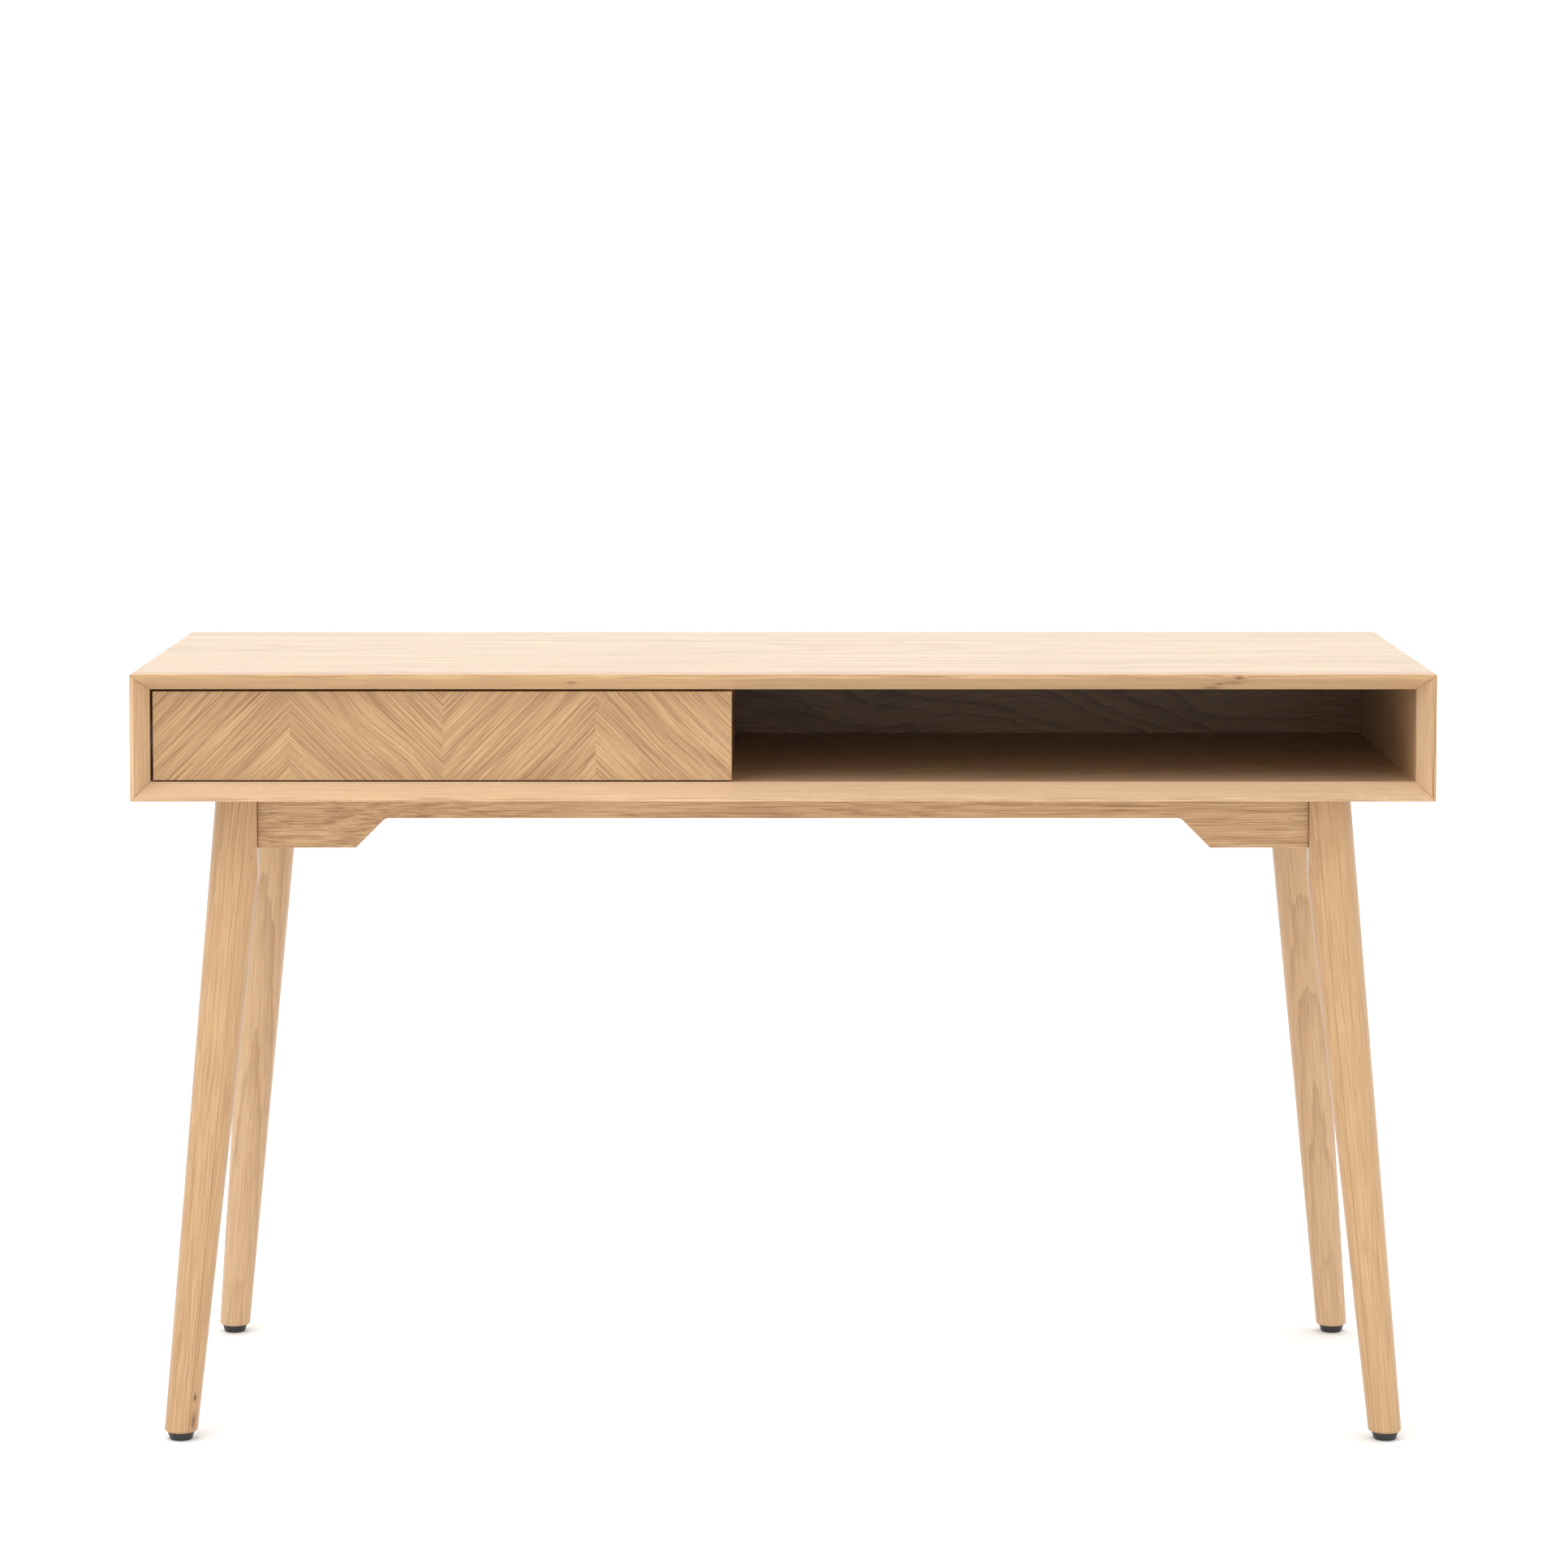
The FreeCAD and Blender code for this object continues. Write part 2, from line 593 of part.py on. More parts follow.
def long_rail():
    """Rail along the rear, cut back along its middle with 45 degree ends."""
    low = CASE_BOTTOM - RAIL_END_HEIGHT
    middle = CASE_BOTTOM - RAIL_MIDDLE_HEIGHT
    cut_high = RAIL_CUT_LOW - (middle - low)
    outline = [
        (-RAIL_END, CASE_BOTTOM),
        (-RAIL_END, low),
        (-RAIL_CUT_LOW, low),
        (-cut_high, middle),
        (cut_high, middle),
        (RAIL_CUT_LOW, low),
        (RAIL_END, low),
        (RAIL_END, CASE_BOTTOM),
    ]
    rail = prism_along_y(outline, RAIL_FRONT - RAIL_THICKNESS, RAIL_FRONT)
    upper_corners = edges_where(
        rail,
        lambda edge: abs(edge.BoundBox.XLength) < 0.01
        and abs(abs(edge.BoundBox.XMin) - cut_high) < 0.1
        and abs(edge.BoundBox.ZMin - middle) < 0.1,
    )
    rail = rail.makeFillet(RAIL_CUT_RADIUS, upper_corners)
    underside = edges_where(
        rail,
        lambda edge: edge.BoundBox.YLength < 0.01
        and edge.BoundBox.ZMax < CASE_BOTTOM - 1
        and edge.BoundBox.XLength > 1,
    )
    rail = rail.makeChamfer(RAIL_ARRIS, underside)
    ends = edges_where(
        rail,
        lambda edge: edge.BoundBox.ZLength > RAIL_MIDDLE_HEIGHT
        and edge.BoundBox.XLength < 0.01
        and edge.BoundBox.YMin > RAIL_FRONT - 0.1,
    )
    return rail.makeChamfer(RAIL_JOINT_ARRIS, ends)


def side_rail():
    low = CASE_BOTTOM - RAIL_END_HEIGHT
    right = SIDE_RAIL_X + RAIL_THICKNESS
    rail = box(SIDE_RAIL_X, right, -SIDE_RAIL_END, SIDE_RAIL_END, low, CASE_BOTTOM)
    underside = edges_where(
        rail,
        lambda edge: edge.BoundBox.YLength > 1 and edge.BoundBox.ZMax < low + 0.1,
    )
    return rail.makeChamfer(RAIL_ARRIS, underside)


def leg_frame():
    dowel_holes = case_dowels(HOLE_PLAY)
    screw_holes = Part.makeCompound(frame_screw_holes())
    rail = long_rail()
    flank = side_rail()
    pieces = {
        "front_rail": cut_all(in_corner(rail, 1, -1), [dowel_holes, screw_holes]),
        "rear_rail": cut_all(rail, [dowel_holes, screw_holes]),
        "left_rail": cut_all(in_corner(flank, -1, 1), [dowel_holes]),
        "right_rail": cut_all(flank, [dowel_holes]),
    }
    bored_leg = leg().cut([hanger_bolt(HOLE_PLAY), glide_hole()])
    shapes = {"leg": bored_leg, "glide": glide(), "corner_block": corner_block()}
    for corner, (side, end) in CORNERS.items():
        pieces[corner + "_leg"] = cut_all(in_corner(shapes["leg"], side, end), [dowel_holes])
        pieces[corner + "_glide"] = in_corner(shapes["glide"], side, end)
        block = in_corner(shapes["corner_block"], side, end)
        pieces[corner + "_corner_block"] = cut_all(block, [screw_holes])
    fixings = {"bolts": hanger_bolt(), "washers": hanger_washer(), "nuts": hanger_nut()}
    for name, shape in fixings.items():
        copies = [in_corner(shape, side, end) for side, end in CORNERS.values()]
        pieces["hanger_" + name] = Part.makeCompound(copies)
    pieces["frame_screws"] = frame_screws()
    return pieces


# ---------------------------------------------------------------- runners

def channel(web_start, lip_end, half_height, steel, front, length, lip=0.0):
    """A steel channel of the left runner, drawn from the bay's left wall towards the drawer."""
    inner = half_height - steel
    web_end = web_start + steel
    near = [(web_start, half_height), (lip_end, half_height)]
    if lip:
        near += [(lip_end, inner - lip), (lip_end - steel, inner - lip), (lip_end - steel, inner)]
    else:
        near += [(lip_end, inner)]
    near += [(web_end, inner)]
    outline = near + [(x, -z) for x, z in reversed(near)]
    shape = prism_along_y(outline, front, front + length)
    shape.translate(vector(BAY_LEFT, 0, RUNNER_Z))
    return shape


def cabinet_member():
    return channel(0, RUNNER_MOUTH, OUTER_HALF, STEEL, RUNNER_FRONT, RUNNER_LENGTH, RUNNER_LIP)


def middle_member():
    return channel(MIDDLE_WEB, RUNNER_MOUTH, MIDDLE_HALF, MIDDLE_STEEL, RUNNER_FRONT, MIDDLE_LENGTH)


def drawer_member():
    depth = RUNNER_WIDTH - INNER_MEMBER_START
    member = channel(0, depth, INNER_HALF, STEEL, RUNNER_FRONT, DRAWER_MEMBER_LENGTH)
    member = member.mirror(vector(BAY_LEFT, 0, 0), vector(1, 0, 0))
    member.translate(vector(RUNNER_WIDTH, 0, 0))
    return member


def ball_strip(web, ball_z, front):
    """A retainer strip with its two rows of captive balls."""
    half_height = ball_z + STRIP_STEEL / 2
    retainer = channel(web, BALL_X + STRIP_REACH, half_height, STRIP_STEEL, front, STRIP_LENGTH)
    step = (STRIP_LENGTH - 2 * BALL_ROW_MARGIN) / (BALLS_PER_ROW - 1)
    radius = BALL_DIAMETER / 2
    rise = vector(0, 0, BALL_DIAMETER)
    balls = []
    pockets = []
    for row in (-1, 1):
        for k in range(BALLS_PER_ROW):
            y = front + BALL_ROW_MARGIN + k * step
            centre = vector(BAY_LEFT + BALL_X, y, RUNNER_Z + row * ball_z)
            balls.append(Part.makeSphere(radius, centre))
            pockets.append(rod(radius + POCKET_PLAY, centre - rise, centre + rise))
    return Part.makeCompound([cut_all(retainer, pockets)] + balls)


def mirrored_runner(shape):
    """The right runner is the left one mirrored about the middle of the drawer bay."""
    return shape.mirror(vector(LATCH_X, 0, 0), vector(1, 0, 0))


def runners():
    left = {
        "runner_cabinet_member": cut_all(cabinet_member(), [small_case_screws(STEEL_HOLE_PLAY)]),
        "runner_middle_member": middle_member(),
        "runner_drawer_member": cut_all(drawer_member(), [runner_drawer_screws(STEEL_HOLE_PLAY)]),
        "outer_ball_strip": ball_strip(OUTER_STRIP_WEB, OUTER_BALL_Z, OUTER_STRIP_FRONT),
        "inner_ball_strip": ball_strip(INNER_STRIP_WEB, INNER_BALL_Z, INNER_STRIP_FRONT),
    }
    pieces = {"left_" + name: shape for name, shape in left.items()}
    pieces.update({"right_" + name: mirrored_runner(shape) for name, shape in left.items()})
    pieces["runner_and_latch_screws"] = small_case_screws()
    pieces["runner_drawer_screws"] = runner_drawer_screws()
    return pieces


# ---------------------------------------------------------------- drawer

def drawer_front():
    """The front board: a core with four leaves of veneer on its face."""
    board = box(FRONT_LEFT, FRONT_RIGHT, FRONT_FACE, FRONT_BACK, FRONT_BOTTOM, FRONT_TOP)
    rim = edges_where(board, lambda edge: edge.BoundBox.YMax < FRONT_FACE + 0.1)
    board = board.makeChamfer(FRONT_ARRIS, rim)
    glue_line = FRONT_FACE + VENEER
    skin = board.common(box(-FAR, FAR, -FAR, glue_line, 0, FAR))
    core = board.cut(box(-FAR, FAR, -FAR, glue_line, 0, FAR))
    pieces = {"drawer_front_core": core.cut(drawer_front_screws(HOLE_PLAY))}
    seams = [FIRST_SEAM + k * LEAF_WIDTH for k in range(LEAF_SEAMS)]
    seams = [-FAR] + seams + [FAR]
    for k, (left, right) in enumerate(zip(seams[:-1], seams[1:])):
        leaf = skin.common(box(left, right, -FAR, FAR, 0, FAR))
        pieces["drawer_veneer_leaf_%d" % (k + 1)] = leaf
    return pieces


def drawer_box():
    groove_left = BOX_LEFT + BOX_WALL - BOX_GROOVE
    groove_right = BOX_RIGHT - BOX_WALL + BOX_GROOVE
    groove_front = BOX_FRONT + BOX_WALL - BOX_GROOVE
    groove_rear = BOX_REAR - BOX_WALL + BOX_GROOVE
    base_top = BOX_BASE_LOW + BOX_BASE
    groove = box(groove_left, groove_right, groove_front, groove_rear, BOX_BASE_LOW, base_top)
    fixings = [groove, drawer_dowels(HOLE_PLAY)]
    fixings += [runner_drawer_screws(HOLE_PLAY), drawer_front_screws(HOLE_PLAY)]
    inner_left = BOX_LEFT + BOX_WALL
    inner_right = BOX_RIGHT - BOX_WALL
    walls = {
        "drawer_left_side": (BOX_LEFT, inner_left, BOX_FRONT, BOX_REAR),
        "drawer_right_side": (inner_right, BOX_RIGHT, BOX_FRONT, BOX_REAR),
        "drawer_box_front": (inner_left, inner_right, BOX_FRONT, BOX_FRONT + BOX_WALL),
        "drawer_box_back": (inner_left, inner_right, BOX_REAR - BOX_WALL, BOX_REAR),
    }
    pieces = {}
    for name, (x0, x1, y0, y1) in walls.items():
        wall = box(x0, x1, y0, y1, BOX_BOTTOM, BOX_TOP)
        if "side" in name:
            top = edges_where(
                wall,
                lambda edge: edge.BoundBox.ZMin > BOX_TOP - 0.1 and edge.BoundBox.YLength > 1,
            )
            wall = wall.makeFillet(BOX_EDGE_RADIUS, top)
        pieces[name] = cut_all(wall, fixings)
    play = BOX_GROOVE_PLAY
    base = (groove_left + play, groove_right - play, groove_front + play, groove_rear - play)
    pieces["drawer_bottom"] = box(*base, BOX_BASE_LOW, base_top)
    pieces["drawer_dowels"] = drawer_dowels()
    pieces["drawer_front_screws"] = drawer_front_screws()
    return pieces


# ---------------------------------------------------------------- push latch

def latch_point(y):
    return vector(LATCH_X, y, RUNNER_Z)


def push_latch():
    half = LATCH_BODY / 2
    mouth = BACK_FACE - LATCH_LENGTH
    low = RUNNER_Z - half
    high = RUNNER_Z + half
    plate_front = BACK_FACE - LATCH_PLATE
    body = box(LATCH_X - half, LATCH_X + half, mouth, BACK_FACE, low, high)
    long_edges = edges_where(body, lambda edge: edge.BoundBox.YLength > 1)
    body = body.makeFillet(LATCH_CORNER_RADIUS, long_edges)
    half_plate = LATCH_PLATE_WIDTH / 2
    plate = box(LATCH_X - half_plate, LATCH_X + half_plate, plate_front, BACK_FACE, low, high)
    bore_end = plate_front - BORE_FLOOR
    bore = rod(LATCH_BORE, latch_point(mouth - 1), latch_point(bore_end))
    housing = body.fuse(plate).removeSplitter().cut([bore, small_case_screws(STEEL_HOLE_PLAY)])

    tip_face = BOX_REAR + PLUNGER_GAP
    stem_end = tip_face + PLUNGER_LENGTH
    tip = rod(PLUNGER_TIP_RADIUS, latch_point(tip_face), latch_point(tip_face + PLUNGER_TIP))
    tip = tip.makeFillet(PLUNGER_TIP_EDGE, edges_where(tip, lambda edge: edge.Closed))
    stem = rod(PLUNGER_RADIUS, latch_point(tip_face + PLUNGER_TIP - 1), latch_point(stem_end))
    plunger = tip.fuse(stem).removeSplitter()

    ends = LATCH_SPRING_PLAY + LATCH_WIRE_RADIUS
    height = bore_end - stem_end - 2 * ends
    pitch = height / LATCH_SPRING_TURNS
    path = Part.makeHelix(pitch, height, LATCH_SPRING_RADIUS)
    slope = degrees(atan2(pitch, 2 * pi * LATCH_SPRING_RADIUS))
    start = vector(LATCH_SPRING_RADIUS, 0, 0)
    tangent = FreeCAD.Rotation(vector(1, 0, 0), slope).multVec(vector(0, 1, 0))
    section = Part.Wire(Part.makeCircle(LATCH_WIRE_RADIUS, start, tangent))
    spring = Part.Wire(path.Edges).makePipeShell([section], True, True)
    spring = placed(spring, latch_point(stem_end + ends), vector(0, 1, 0))
    return {"latch_housing": housing, "latch_plunger": plunger, "latch_spring": spring}


def main():
    os.makedirs("parts", exist_ok=True)
    pieces = {}
    pieces.update(case_panels())
    pieces["back_panel"] = back_panel()
    pieces["divider_panel"] = divider_panel()
    pieces["mitre_splines"] = mitre_splines()
    pieces["wood_dowels"] = case_dowels()
    pieces["back_panel_screws"] = back_panel_screws()
    pieces.update(leg_frame())
    pieces.update(runners())
    pieces.update(drawer_front())
    pieces.update(drawer_box())
    pieces.update(push_latch())
    for name, shape in pieces.items():
        if not shape.isValid() or not shape.Solids:
            raise RuntimeError("bad shape: " + name)
        shape.exportStep("parts/%s.step" % name)
    print(len(pieces), "nodes,", sum(len(shape.Solids) for shape in pieces.values()), "solids")


main()
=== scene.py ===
import math
from collections import namedtuple

import bpy
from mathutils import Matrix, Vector


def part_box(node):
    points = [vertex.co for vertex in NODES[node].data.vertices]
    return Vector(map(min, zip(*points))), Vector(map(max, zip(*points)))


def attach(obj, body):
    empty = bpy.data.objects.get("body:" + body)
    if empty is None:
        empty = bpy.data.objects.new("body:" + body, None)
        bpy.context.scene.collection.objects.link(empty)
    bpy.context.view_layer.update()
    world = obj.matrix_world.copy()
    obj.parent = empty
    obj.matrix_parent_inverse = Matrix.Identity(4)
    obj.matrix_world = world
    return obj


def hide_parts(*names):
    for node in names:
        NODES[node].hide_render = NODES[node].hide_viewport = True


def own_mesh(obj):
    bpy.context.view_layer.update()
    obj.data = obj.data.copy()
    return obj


bl_info = {
    "name": "Oak writing desk finishes",
    "version": (1, 0, 0),
    "blender": (4, 5, 0),
    "location": "View3D > Sidebar > Desk",
    "description": "Finishes, turned details and studio for a splayed-leg oak writing desk",
    "category": "Object",
}

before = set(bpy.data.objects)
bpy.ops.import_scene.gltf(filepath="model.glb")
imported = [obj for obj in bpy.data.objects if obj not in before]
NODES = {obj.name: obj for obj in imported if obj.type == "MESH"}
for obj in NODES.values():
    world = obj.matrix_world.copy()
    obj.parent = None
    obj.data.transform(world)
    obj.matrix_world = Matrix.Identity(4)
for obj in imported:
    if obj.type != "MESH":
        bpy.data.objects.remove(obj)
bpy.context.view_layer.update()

MM = 0.001
CORNERS = {
    "front_left": (-1, -1),
    "front_right": (1, -1),
    "rear_left": (-1, 1),
    "rear_right": (1, 1),
}
X_AXIS = (1, 0, 0)
Y_AXIS = (0, 1, 0)
Z_AXIS = (0, 0, 1)

# Lengths from here on are in millimetres, up to the settings.
LEG_SPLAY = (0.0931, 0.0984)    # lean of a leg per unit of height: along the desk, and across it
LIPPING_FLAT = 4.0              # the flat that the bevel leaves on the lippings' front edge
CASE_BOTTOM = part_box("bottom_panel")[0][2] / MM
CASE_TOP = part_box("top_panel")[1][2] / MM
CASE_MIDDLE = (CASE_BOTTOM + CASE_TOP) / 2
CASE_HALF_HEIGHT = (CASE_TOP - CASE_BOTTOM) / 2
CASE_HALF_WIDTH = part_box("right_side_panel")[1][0] / MM
BACK_PANEL_MIDDLE = (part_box("back_panel")[0][1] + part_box("back_panel")[1][1]) / 2 / MM

# Knots and swirls are places where the fibres bend: dark is how dark a knot is, and push how far a swirl
# bends them. Painted light: wood lying past a level along the direction a face points is made paler by
# that share, standing in for light and shade on that face.
Knot = namedtuple("Knot", "x y z size dark")
Swirl = namedtuple("Swirl", "x y z size push")
PaintedFaceLight = namedtuple("PaintedFaceLight", "facing level paler")

# Noise drawn out along the fibres: its scale along and across them, which of its three axes the board's
# seed moves, and the values between which it turns into a mark.
Pattern = namedtuple("Pattern", "long wide seeded detail roughness edge", defaults=(0.5, (0.0, 1.0)))
WANDER = Pattern(220, 60, 0, 2.0)
DRIFT = Pattern(500, 220, 0, 1.0)
RIPPLE = Pattern(60, 12, 1, 2.0)
STREAK = Pattern(80, 1.05, 1, 3.0, 0.62)
BAND = Pattern(260, 6.5, 0, 2.0)
CLOUD = Pattern(380, 30, 2, 2.0)
LINE = Pattern(34, 0.62, 2, 2.0, edge=(0.56, 0.72))
PORE = Pattern(5.5, 0.30, 0, 1.0, edge=(0.55, 0.68))
RAY_PATCH = Pattern(40, 22, 0, 1.0, edge=(0.50, 0.62))
PALE_BAND = Pattern(260, 7, 0, 3.0, edge=(0.3, 0.75))
PALE_FLECK = Pattern(2.6, 0.5, 1, 1.0, edge=(0.62, 0.74))
PALE_FIBRE = Pattern(50, 0.8, 2, 2.0, edge=(0.4, 0.8))

# How far the oak's fibres and its heart stray, and by how many rings the years do.
FIBRE_WANDER = 6
HEART_DRIFT = 26
RING_RIPPLE = 1.1
RING_UNEVEN = 5.0
UNEVEN_SCALE = 30
# Vigour: some years grow more open wood than others.
VIGOUR_WIDE = 6.5
VIGOUR_LONG = 900
VIGOUR_SEED = 9
VIGOUR_EDGE = (0.34, 0.60)
LEAST_VIGOUR = 0.35
# Within a year, open wood starts at once and thins out.
RING_START = (0.0, 0.10)
RING_THINNING = 2.4

# How much of each mark shows in the oak's colour.
BASE_SHADE = 0.42
STREAK_SHADE = 3.9
BAND_SHADE = 0.42
RING_SHADE = 0.32
RING_MEAN = 0.2
LINE_SHADE = 0.42
PORE_SHADE = 0.40
PORES_OUTSIDE_RINGS = 0.25
LINES_OUTSIDE_RINGS = 0.45
# A darker board loses a little more green and blue than red.
DARKENING = (1.0, 1.08, 1.16)
# Rays: how often they repeat round the heart, and their lengths along the fibres and outwards.
RAYS_ROUND = 420.0
RAYS_LONG = 2.4
RAYS_SLANT = 3.5
RAYS_OUT = 9
RAY_EDGE = (0.50, 0.64)

# A leg is glued from two staves; the second one is cut from further along the log.
STAVE_STEP = 61.0
STAVE_STEPS_ALONG = 3
STAVE_PALER = 0.16
SEAM_EDGE = (0.15, 0.7)
SEAM_SHADE = 0.45
MITRE_EDGE = (0.15, 0.6)
MITRE_SHADE = 0.5
PAINTED_LIGHT_EDGE = (-0.4, 0.4)

# Knots: their push on the fibres, how long a bend is for its width, and their dark ring and middle.
KNOT_PUSH = 1.3
EDDY_LENGTH = 1.5
KNOT_FLATTENING = 0.42
KNOT_RAGGED = 2.4
KNOT_RING_EDGE = (0.3, 1.4)
KNOT_RING_SHADE = 0.6
KNOT_HEART_EDGE = (0.15, 0.55)
KNOT_HEART_SHADE = 0.9

# How the marks change the lacquer's roughness and the relief, and how deep the relief is on each stuff.
PORE_ROUGHNESS = 0.16
STREAK_ROUGHNESS = 0.18
RAY_GLOSS = 0.08
RELIEF_LEVEL = 0.8
PORE_RELIEF = 0.7
LINE_RELIEF = 0.25
STREAK_RELIEF = 0.4
OAK_RELIEF = 0.05
PALE_RELIEF = 0.03
PLASTIC_RELIEF = 0.03
ZINC_RELIEF = 0.004
COAT_ROUGHNESS = 0.12

# Marks per millimetre on the plastic and the metal; the drawing lines run along the desk's depth.
PLASTIC_GRAIN = 2.2
PLASTIC_WEAR = 0.12
ZINC_LINES = (6.0, 0.05, 6.0)
ZINC_MOTTLE = 0.25


def srgb(red, green, blue):
    """A linear colour from the 0 to 255 values of a paint chart."""
    channels = []
    for value in (red, green, blue):
        v = value / 255
        channels.append(v / 12.92 if v <= 0.04045 else ((v + 0.055) / 1.055) ** 2.4)
    return tuple(channels)


# ---------------------------------------------------------------- shader maths

class Value:
    """A socket that takes part in Python expressions; each operation adds a Math node."""

    def __init__(self, maker, socket):
        self.maker = maker
        self.socket = socket

    def math(self, operation, *others):
        return self.maker.math(operation, self, *others)

    def __add__(self, other):
        return self.math("ADD", other)

    def __radd__(self, other):
        return self.maker.math("ADD", other, self)

    def __sub__(self, other):
        return self.math("SUBTRACT", other)

    def __rsub__(self, other):
        return self.maker.math("SUBTRACT", other, self)

    def __mul__(self, other):
        return self.math("MULTIPLY", other)

    def __rmul__(self, other):
        return self.maker.math("MULTIPLY", other, self)

    def __truediv__(self, other):
        return self.math("DIVIDE", other)

    def __rtruediv__(self, other):
        return self.maker.math("DIVIDE", other, self)

    def __pow__(self, other):
        return self.math("POWER", other)

    def fraction(self):
        return self.math("FRACT")

    def absolute(self):
        return self.math("ABSOLUTE")

    def ramp(self, low, high):
        """0 below low, 1 above high, smooth between them."""
        return self.maker.node(
            "ShaderNodeMapRange",
            {"interpolation_type": "SMOOTHSTEP"},
            {"Value": self, "From Min": low, "From Max": high},
        )["Result"]


class Maker:
    """Builds one material's nodes."""

    def __init__(self, name, tree=None):
        self.material = None
        if tree is None:
            self.material = bpy.data.materials.new(name)
            self.material.use_nodes = True
            tree = self.material.node_tree
        self.tree = tree
        tree.nodes.clear()

    def node(self, kind, settings=None, inputs=None):
        """Adds a node and returns its outputs by name; a socket's input is a value or a link."""
        made = self.tree.nodes.new(kind)
        for key, setting in (settings or {}).items():
            setattr(made, key, setting)
        for key, value in (inputs or {}).items():
            socket = made.inputs[key]
            if isinstance(value, Value):
                self.tree.links.new(value.socket, socket)
            else:
                socket.default_value = value
        return {out.name: Value(self, out) for out in reversed(made.outputs)}

    def math(self, operation, *values):
        inputs = dict(enumerate(values))
        return self.node("ShaderNodeMath", {"operation": operation}, inputs)["Value"]

    def vector(self, operation, *values, scale=None):
        inputs = dict(enumerate(values))
        if scale is not None:
            inputs["Scale"] = scale
        outputs = self.node("ShaderNodeVectorMath", {"operation": operation}, inputs)
        return outputs["Value"] if operation == "DOT_PRODUCT" else outputs["Vector"]

    def combine(self, x, y, z):
        return self.node("ShaderNodeCombineXYZ", None, {"X": x, "Y": y, "Z": z})["Vector"]

    def noise(self, place, detail=2.0, roughness=0.5):
        inputs = {"Vector": place, "Scale": 1.0, "Detail": detail, "Roughness": roughness}
        return self.node("ShaderNodeTexNoise", {"noise_dimensions": "3D"}, inputs)["Fac"]

    def mix(self, factor, first, second, blend="MIX"):
        """Mixes two colours, each a linked one or a linear triple."""
        made = self.tree.nodes.new("ShaderNodeMix")
        made.data_type = "RGBA"
        made.blend_type = blend
        made.clamp_factor = True
        sockets = {"Factor": made.inputs[0], "A": made.inputs[6], "B": made.inputs[7]}
        for key, value in (("Factor", factor), ("A", first), ("B", second)):
            if isinstance(value, Value):
                self.tree.links.new(value.socket, sockets[key])
            elif key == "Factor":
                sockets[key].default_value = value
            else:
                sockets[key].default_value = (*value, 1.0)
        return Value(self, made.outputs[2])

    def point(self):
        """The shaded point in the desk's frame, in millimetres."""
        point = self.node("ShaderNodeTexCoord")["Object"]
        return self.vector("SCALE", point, scale=1 / MM)

    def surface(self, colour, roughness, height=None, depth=0.1, metallic=0.0, **constants):
        """The shader itself; height, from 0 to 1, becomes a bump of that depth in millimetres."""
        inputs = {"Roughness": roughness, "Metallic": metallic}
        if isinstance(colour, Value):
            inputs["Base Color"] = colour
        else:
            inputs["Base Color"] = (*colour, 1.0)
        if height is not None:
            bump = {"Strength": 1.0, "Distance": depth * MM, "Height": height}
            inputs["Normal"] = self.node("ShaderNodeBump", None, bump)["Normal"]
        inputs.update({key.replace("_", " "): value for key, value in constants.items()})
        shader = self.node("ShaderNodeBsdfPrincipled", None, inputs)["BSDF"]
        self.node("ShaderNodeOutputMaterial", None, {"Surface": shader})
        return self.material


# ---------------------------------------------------------------- settings

class DeskOakSettings(bpy.types.PropertyGroup):
    latewood: bpy.props.FloatVectorProperty(
        name="Latewood",
        description="Colour of the dense pale wood between the pore rows",
        subtype="COLOR",
        min=0,
        max=1,
        default=srgb(199, 162, 116),
    )
    earlywood: bpy.props.FloatVectorProperty(
        name="Earlywood",
        description="Colour of the open wood at the start of each year ring",
        subtype="COLOR",
        min=0,
        max=1,
        default=srgb(150, 108, 66),
    )
    pore: bpy.props.FloatVectorProperty(
        name="Pores",
        description="Colour in the bottom of the open pores",
        subtype="COLOR",
        min=0,
        max=1,
        default=srgb(112, 75, 42),
    )
    ray: bpy.props.FloatVectorProperty(
        name="Ray fleck",
        description="Colour of the shiny rays that cross the rings",
        subtype="COLOR",
        min=0,
        max=1,
        default=srgb(230, 201, 168),
    )
    knot: bpy.props.FloatVectorProperty(
        name="Knot",
        description="Colour of the middle of a knot",
        subtype="COLOR",
        min=0,
        max=1,
        default=srgb(78, 46, 26),
    )
    ring_width: bpy.props.FloatProperty(
        name="Ring width",
        description="Mean width of a year ring",
        subtype="DISTANCE",
        unit="LENGTH",
        default=2.5 * MM,
    )
    sheen_roughness: bpy.props.FloatProperty(
        name="Lacquer roughness",
        description="Roughness of the matt lacquer over the oak",
        subtype="FACTOR",
        min=0,
        max=1,
        default=0.34,
    )


class DeskSpringSettings(bpy.types.PropertyGroup):
    wire_radius: bpy.props.FloatProperty(
        name="Wire radius",
        description="Half the thickness of the spring's wire",
        subtype="DISTANCE",
        unit="LENGTH",
        default=0.35 * MM,
    )
    turns: bpy.props.IntProperty(
        name="Turns",
        description="How many times the wire goes round",
        default=4,
        min=1,
    )
    steps_per_turn: bpy.props.IntProperty(
        name="Steps per turn",
        description="Facets of one turn of the wire",
        default=32,
        min=8,
    )


